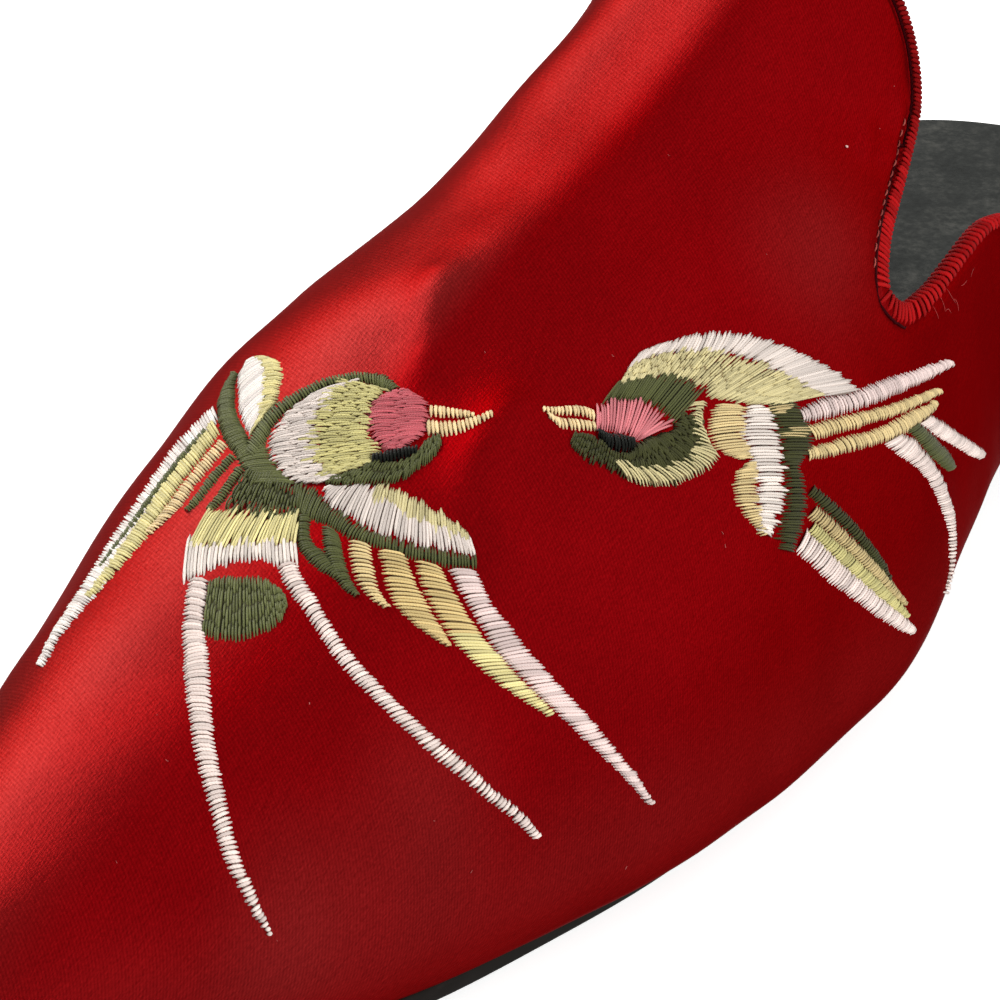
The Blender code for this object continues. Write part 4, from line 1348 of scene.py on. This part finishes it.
def make_slab(name, station, rings, material):
    """A closed slab from rings of (outer X, inner X, Z) listed from its top face to its bottom face."""
    forward = LENGTH * (0.5 - station)[:, None]
    across = np.linspace(0.0, 1.0, SLAB_ACROSS + 1)
    count = len(station)
    width = len(across)
    points = []
    for outer, inner, height in rings:
        aside = outer[:, None] + across * (inner - outer)[:, None]
        points.append(stacked(*np.broadcast_arrays(aside, forward, height[:, None])).reshape(-1, 3))
    points = np.concatenate(points)
    ring_size = count * width
    top = turned_over(grid_faces(count, width))
    faces = [top, top[:, ::-1] + ring_size * (len(rings) - 1)]
    outer_run = np.arange(count) * width
    front_run = (count - 1) * width + np.arange(1, width)
    inner_run = outer_run[-2::-1] + SLAB_ACROSS
    border = np.concatenate([outer_run, front_run, inner_run, np.arange(width - 2, -1, -1)])
    for ring in range(len(rings) - 1):
        faces.append(band_faces(border + ring * ring_size, border + (ring + 1) * ring_size))
    first, clean, _ = weld(points, np.concatenate(faces))
    used = sorted({corner for face in clean for corner in face})
    renumber = {old: new for new, old in enumerate(used)}
    clean = [[renumber[corner] for corner in face] for face in clean]
    created = add_mesh(name, points[first][used], clean, [material])
    created.data.set_sharp_from_angle(angle=SHARP_ANGLE)
    return created


def make_outsole(material):
    station = slab_stations(0.0, 1.0)
    top = feather_height(station) - GAP
    turns = np.radians(SOLE_TURNS)
    rings = []
    for height, way, order in ((top, -1.0, turns), (top - OUTSOLE_THICKNESS, 1.0, turns[::-1])):
        for turn in order:
            inward = SOLE_ROUND * (1.0 - np.cos(turn))
            rounded = height + way * SOLE_ROUND * (1.0 - np.sin(turn))
            rings.append(spread_ring(station, SOLE_PROUD - inward, rounded))
    return make_slab("outsole_dressed", station, rings, material)


def make_heel(material):
    station = slab_stations(0.0, HEEL_BREAST)
    top = feather_height(station) - GAP - OUTSOLE_THICKNESS - GAP
    floor = np.zeros_like(station)
    insets_and_heights = (
        (0.0, top),
        (HEEL_TAPER * 0.5, top * 0.5),
        (HEEL_TAPER * 0.9, floor + SOLE_ROUND),
        (HEEL_TAPER + SOLE_ROUND * 0.3, floor + SOLE_ROUND * 0.3),
        (HEEL_TAPER + SOLE_ROUND, floor),
    )
    rings = [spread_ring(station, -HEEL_INSET - inset, height) for inset, height in insets_and_heights]
    return make_slab("heel_dressed", station, rings, material)


def make_insole(material):
    station = slab_stations(0.0, INSOLE_FRONT)
    outer, inner = feather_sides(station)
    low = np.linspace(0.0, INSOLE_ANGLE, 12)
    covered_outer = hollow_wall(station[:, None], low)[..., 0].min(axis=1) - INSOLE_CLEARANCE
    covered_inner = hollow_wall(station[:, None], np.pi - low)[..., 0].max(axis=1) + INSOLE_CLEARANCE
    blend = share_between(station, BARE_INSOLE_END, COVERED_INSOLE)
    outer = outer + blend * (covered_outer - outer)
    inner = inner + blend * (covered_inner - inner)
    bottom = feather_height(station)
    rings = []
    for turn in np.radians(INSOLE_TURNS):
        inward = np.minimum(INSOLE_ROUND * (1.0 - np.cos(turn)), 0.2 * (outer - inner))
        height = bottom + INSOLE_THICKNESS - INSOLE_ROUND * (1.0 - np.sin(turn))
        rings.append((outer - inward, inner + inward, height))
    rings.append((outer, inner, bottom))
    return make_slab("insole_dressed", station, rings, material)


def fibre(met, length, width, curl, colour, random):
    """A short bent fibre lying on the satin in a random direction."""
    place, normal = met
    heading = unit(np.cross(normal, random.normal(size=3)))
    shares = np.linspace(-0.5, 0.5, 6)[:, None]
    bend = np.cross(normal, heading) * curl * random.uniform(-1.0, 1.0)
    path = place + normal * width + heading * shares * length + bend * (shares ** 2) * length
    return path, np.tile(normal, (len(path), 1)), width, width, shaded(colour, random, LINT_COLOUR_SPREAD)


def make_lint(tree, axes, material):
    """Specks of lint on the satin and loose thread ends beside the notch."""
    random = np.random.default_rng(RANDOM_SEED + 4)
    met = sight_line(tree, axes, LINT_BRIGHT)
    strands = [fibre(met, *LINT_BRIGHT_SIZE, 0.0, LINT_BRIGHT_COLOUR, random)]
    for _ in range(LINT_COUNT):
        met = sight_line(tree, axes, (random.uniform(*LINT_ACROSS), random.uniform(*LINT_DOWN)))
        if met is not None:
            length = random.uniform(*LINT_LENGTHS)
            strands.append(fibre(met, length, random.uniform(*LINT_WIDTHS), LINT_CURL, LINT_COLOUR, random))
    for pixel, length in LOOSE_ENDS:
        met = satin_under_pixel(tree, axes, pixel)
        strands.append(fibre(met, length, LOOSE_END_WIDTH, LOOSE_END_CURL, LOOSE_END_COLOUR, random))
    return strand_mesh("lint", strands, material)


def make_camera(axes):
    position, right, up, forward = axes
    data = bpy.data.cameras.new("camera")
    data.sensor_fit = "HORIZONTAL"
    data.sensor_width = SENSOR
    data.lens = FOCAL_PIXELS * SENSOR / PHOTO_SIDE
    camera = add_object("camera", data)
    turned = Matrix((right, up, -forward)).transposed().to_4x4()
    camera.matrix_world = Matrix.Translation(Vector(position)) @ turned
    bpy.context.scene.camera = camera


def add_light(name, position, size, watts, colour, mirrored):
    data = bpy.data.lights.new(name, "AREA")
    data.shape = "DISK"
    data.size = size
    data.energy = watts
    data.color = colour
    light = add_object(name, data)
    aim = Vector(LIGHT_AIM) - Vector(position)
    light.rotation_euler = aim.to_track_quat("-Z", "Y").to_euler()
    light.location = position
    light.visible_glossy = mirrored


def make_studio():
    mesh = bpy.data.meshes.new("floor")
    corners = [(-1, -1), (1, -1), (1, 1), (-1, 1)]
    mesh.from_pydata([(FLOOR_HALF * x, FLOOR_HALF * y, 0.0) for x, y in corners], [], [(0, 1, 2, 3)])
    material, tree, shader = new_material("pale_floor", (0.90, 0.90, 0.90), 0.9)
    connect(tree, shader, {
        "Specular IOR Level": 0.1,
        "Emission Color": (1.0, 1.0, 1.0, 1.0),
        "Emission Strength": FLOOR_GLOW,
    })
    mesh.materials.append(material)
    floor = add_object("floor", mesh)
    floor.location.z = -FLOOR_DROP
    floor.visible_diffuse = False
    floor.visible_glossy = False
    world = bpy.data.worlds.new("studio")
    world.use_nodes = True
    background = world.node_tree.nodes["Background"]
    connect(world.node_tree, background, {"Color": (1.0, 1.0, 1.0, 1.0), "Strength": WORLD_STRENGTH})
    bpy.context.scene.world = world
    for light in LIGHTS:
        add_light(*light)
    bpy.context.scene.view_settings.view_transform = "Standard"


def dress(piece, slot, *nodes):
    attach(piece, "root")
    if nodes:
        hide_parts(*nodes)


def main():
    axes = camera_axes()
    make_camera(axes)
    make_studio()
    satin_thread = thread_material("embroidery_thread", roughness=0.42, gloss=0.22, sheen=0.05)
    edge_thread = thread_material("edge_thread", roughness=0.55, gloss=0.05, sheen=0.0)
    upper, opening, tree = make_upper(satin_material(), lining_material())
    dress(upper, "upper_satin", "upper")
    dress(make_overcast(opening, edge_thread), "upper_satin")
    dress(make_running_stitch(opening, tree, edge_thread), "upper_satin")
    left = make_embroidery("embroidery_left_bird", LEFT_BIRD, tree, axes, satin_thread, RANDOM_SEED + 2)
    dress(left, "upper_satin")
    right = make_embroidery("embroidery_right_bird", RIGHT_BIRD, tree, axes, satin_thread, RANDOM_SEED + 3)
    dress(right, "upper_satin")
    dress(make_lint(tree, axes, satin_thread), "upper_satin")
    dress(make_insole(leather_material()), "insole_leather", "insole")
    sole = sole_material()
    dress(make_outsole(sole), "sole", "outsole")
    dress(make_heel(sole), "heel_block", "heel")


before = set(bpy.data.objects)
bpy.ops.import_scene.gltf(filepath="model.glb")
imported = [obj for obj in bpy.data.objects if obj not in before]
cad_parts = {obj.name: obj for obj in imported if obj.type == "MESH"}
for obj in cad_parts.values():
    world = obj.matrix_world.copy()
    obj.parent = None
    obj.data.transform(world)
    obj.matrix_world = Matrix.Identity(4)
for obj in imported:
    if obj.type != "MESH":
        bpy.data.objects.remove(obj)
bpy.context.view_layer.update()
main()
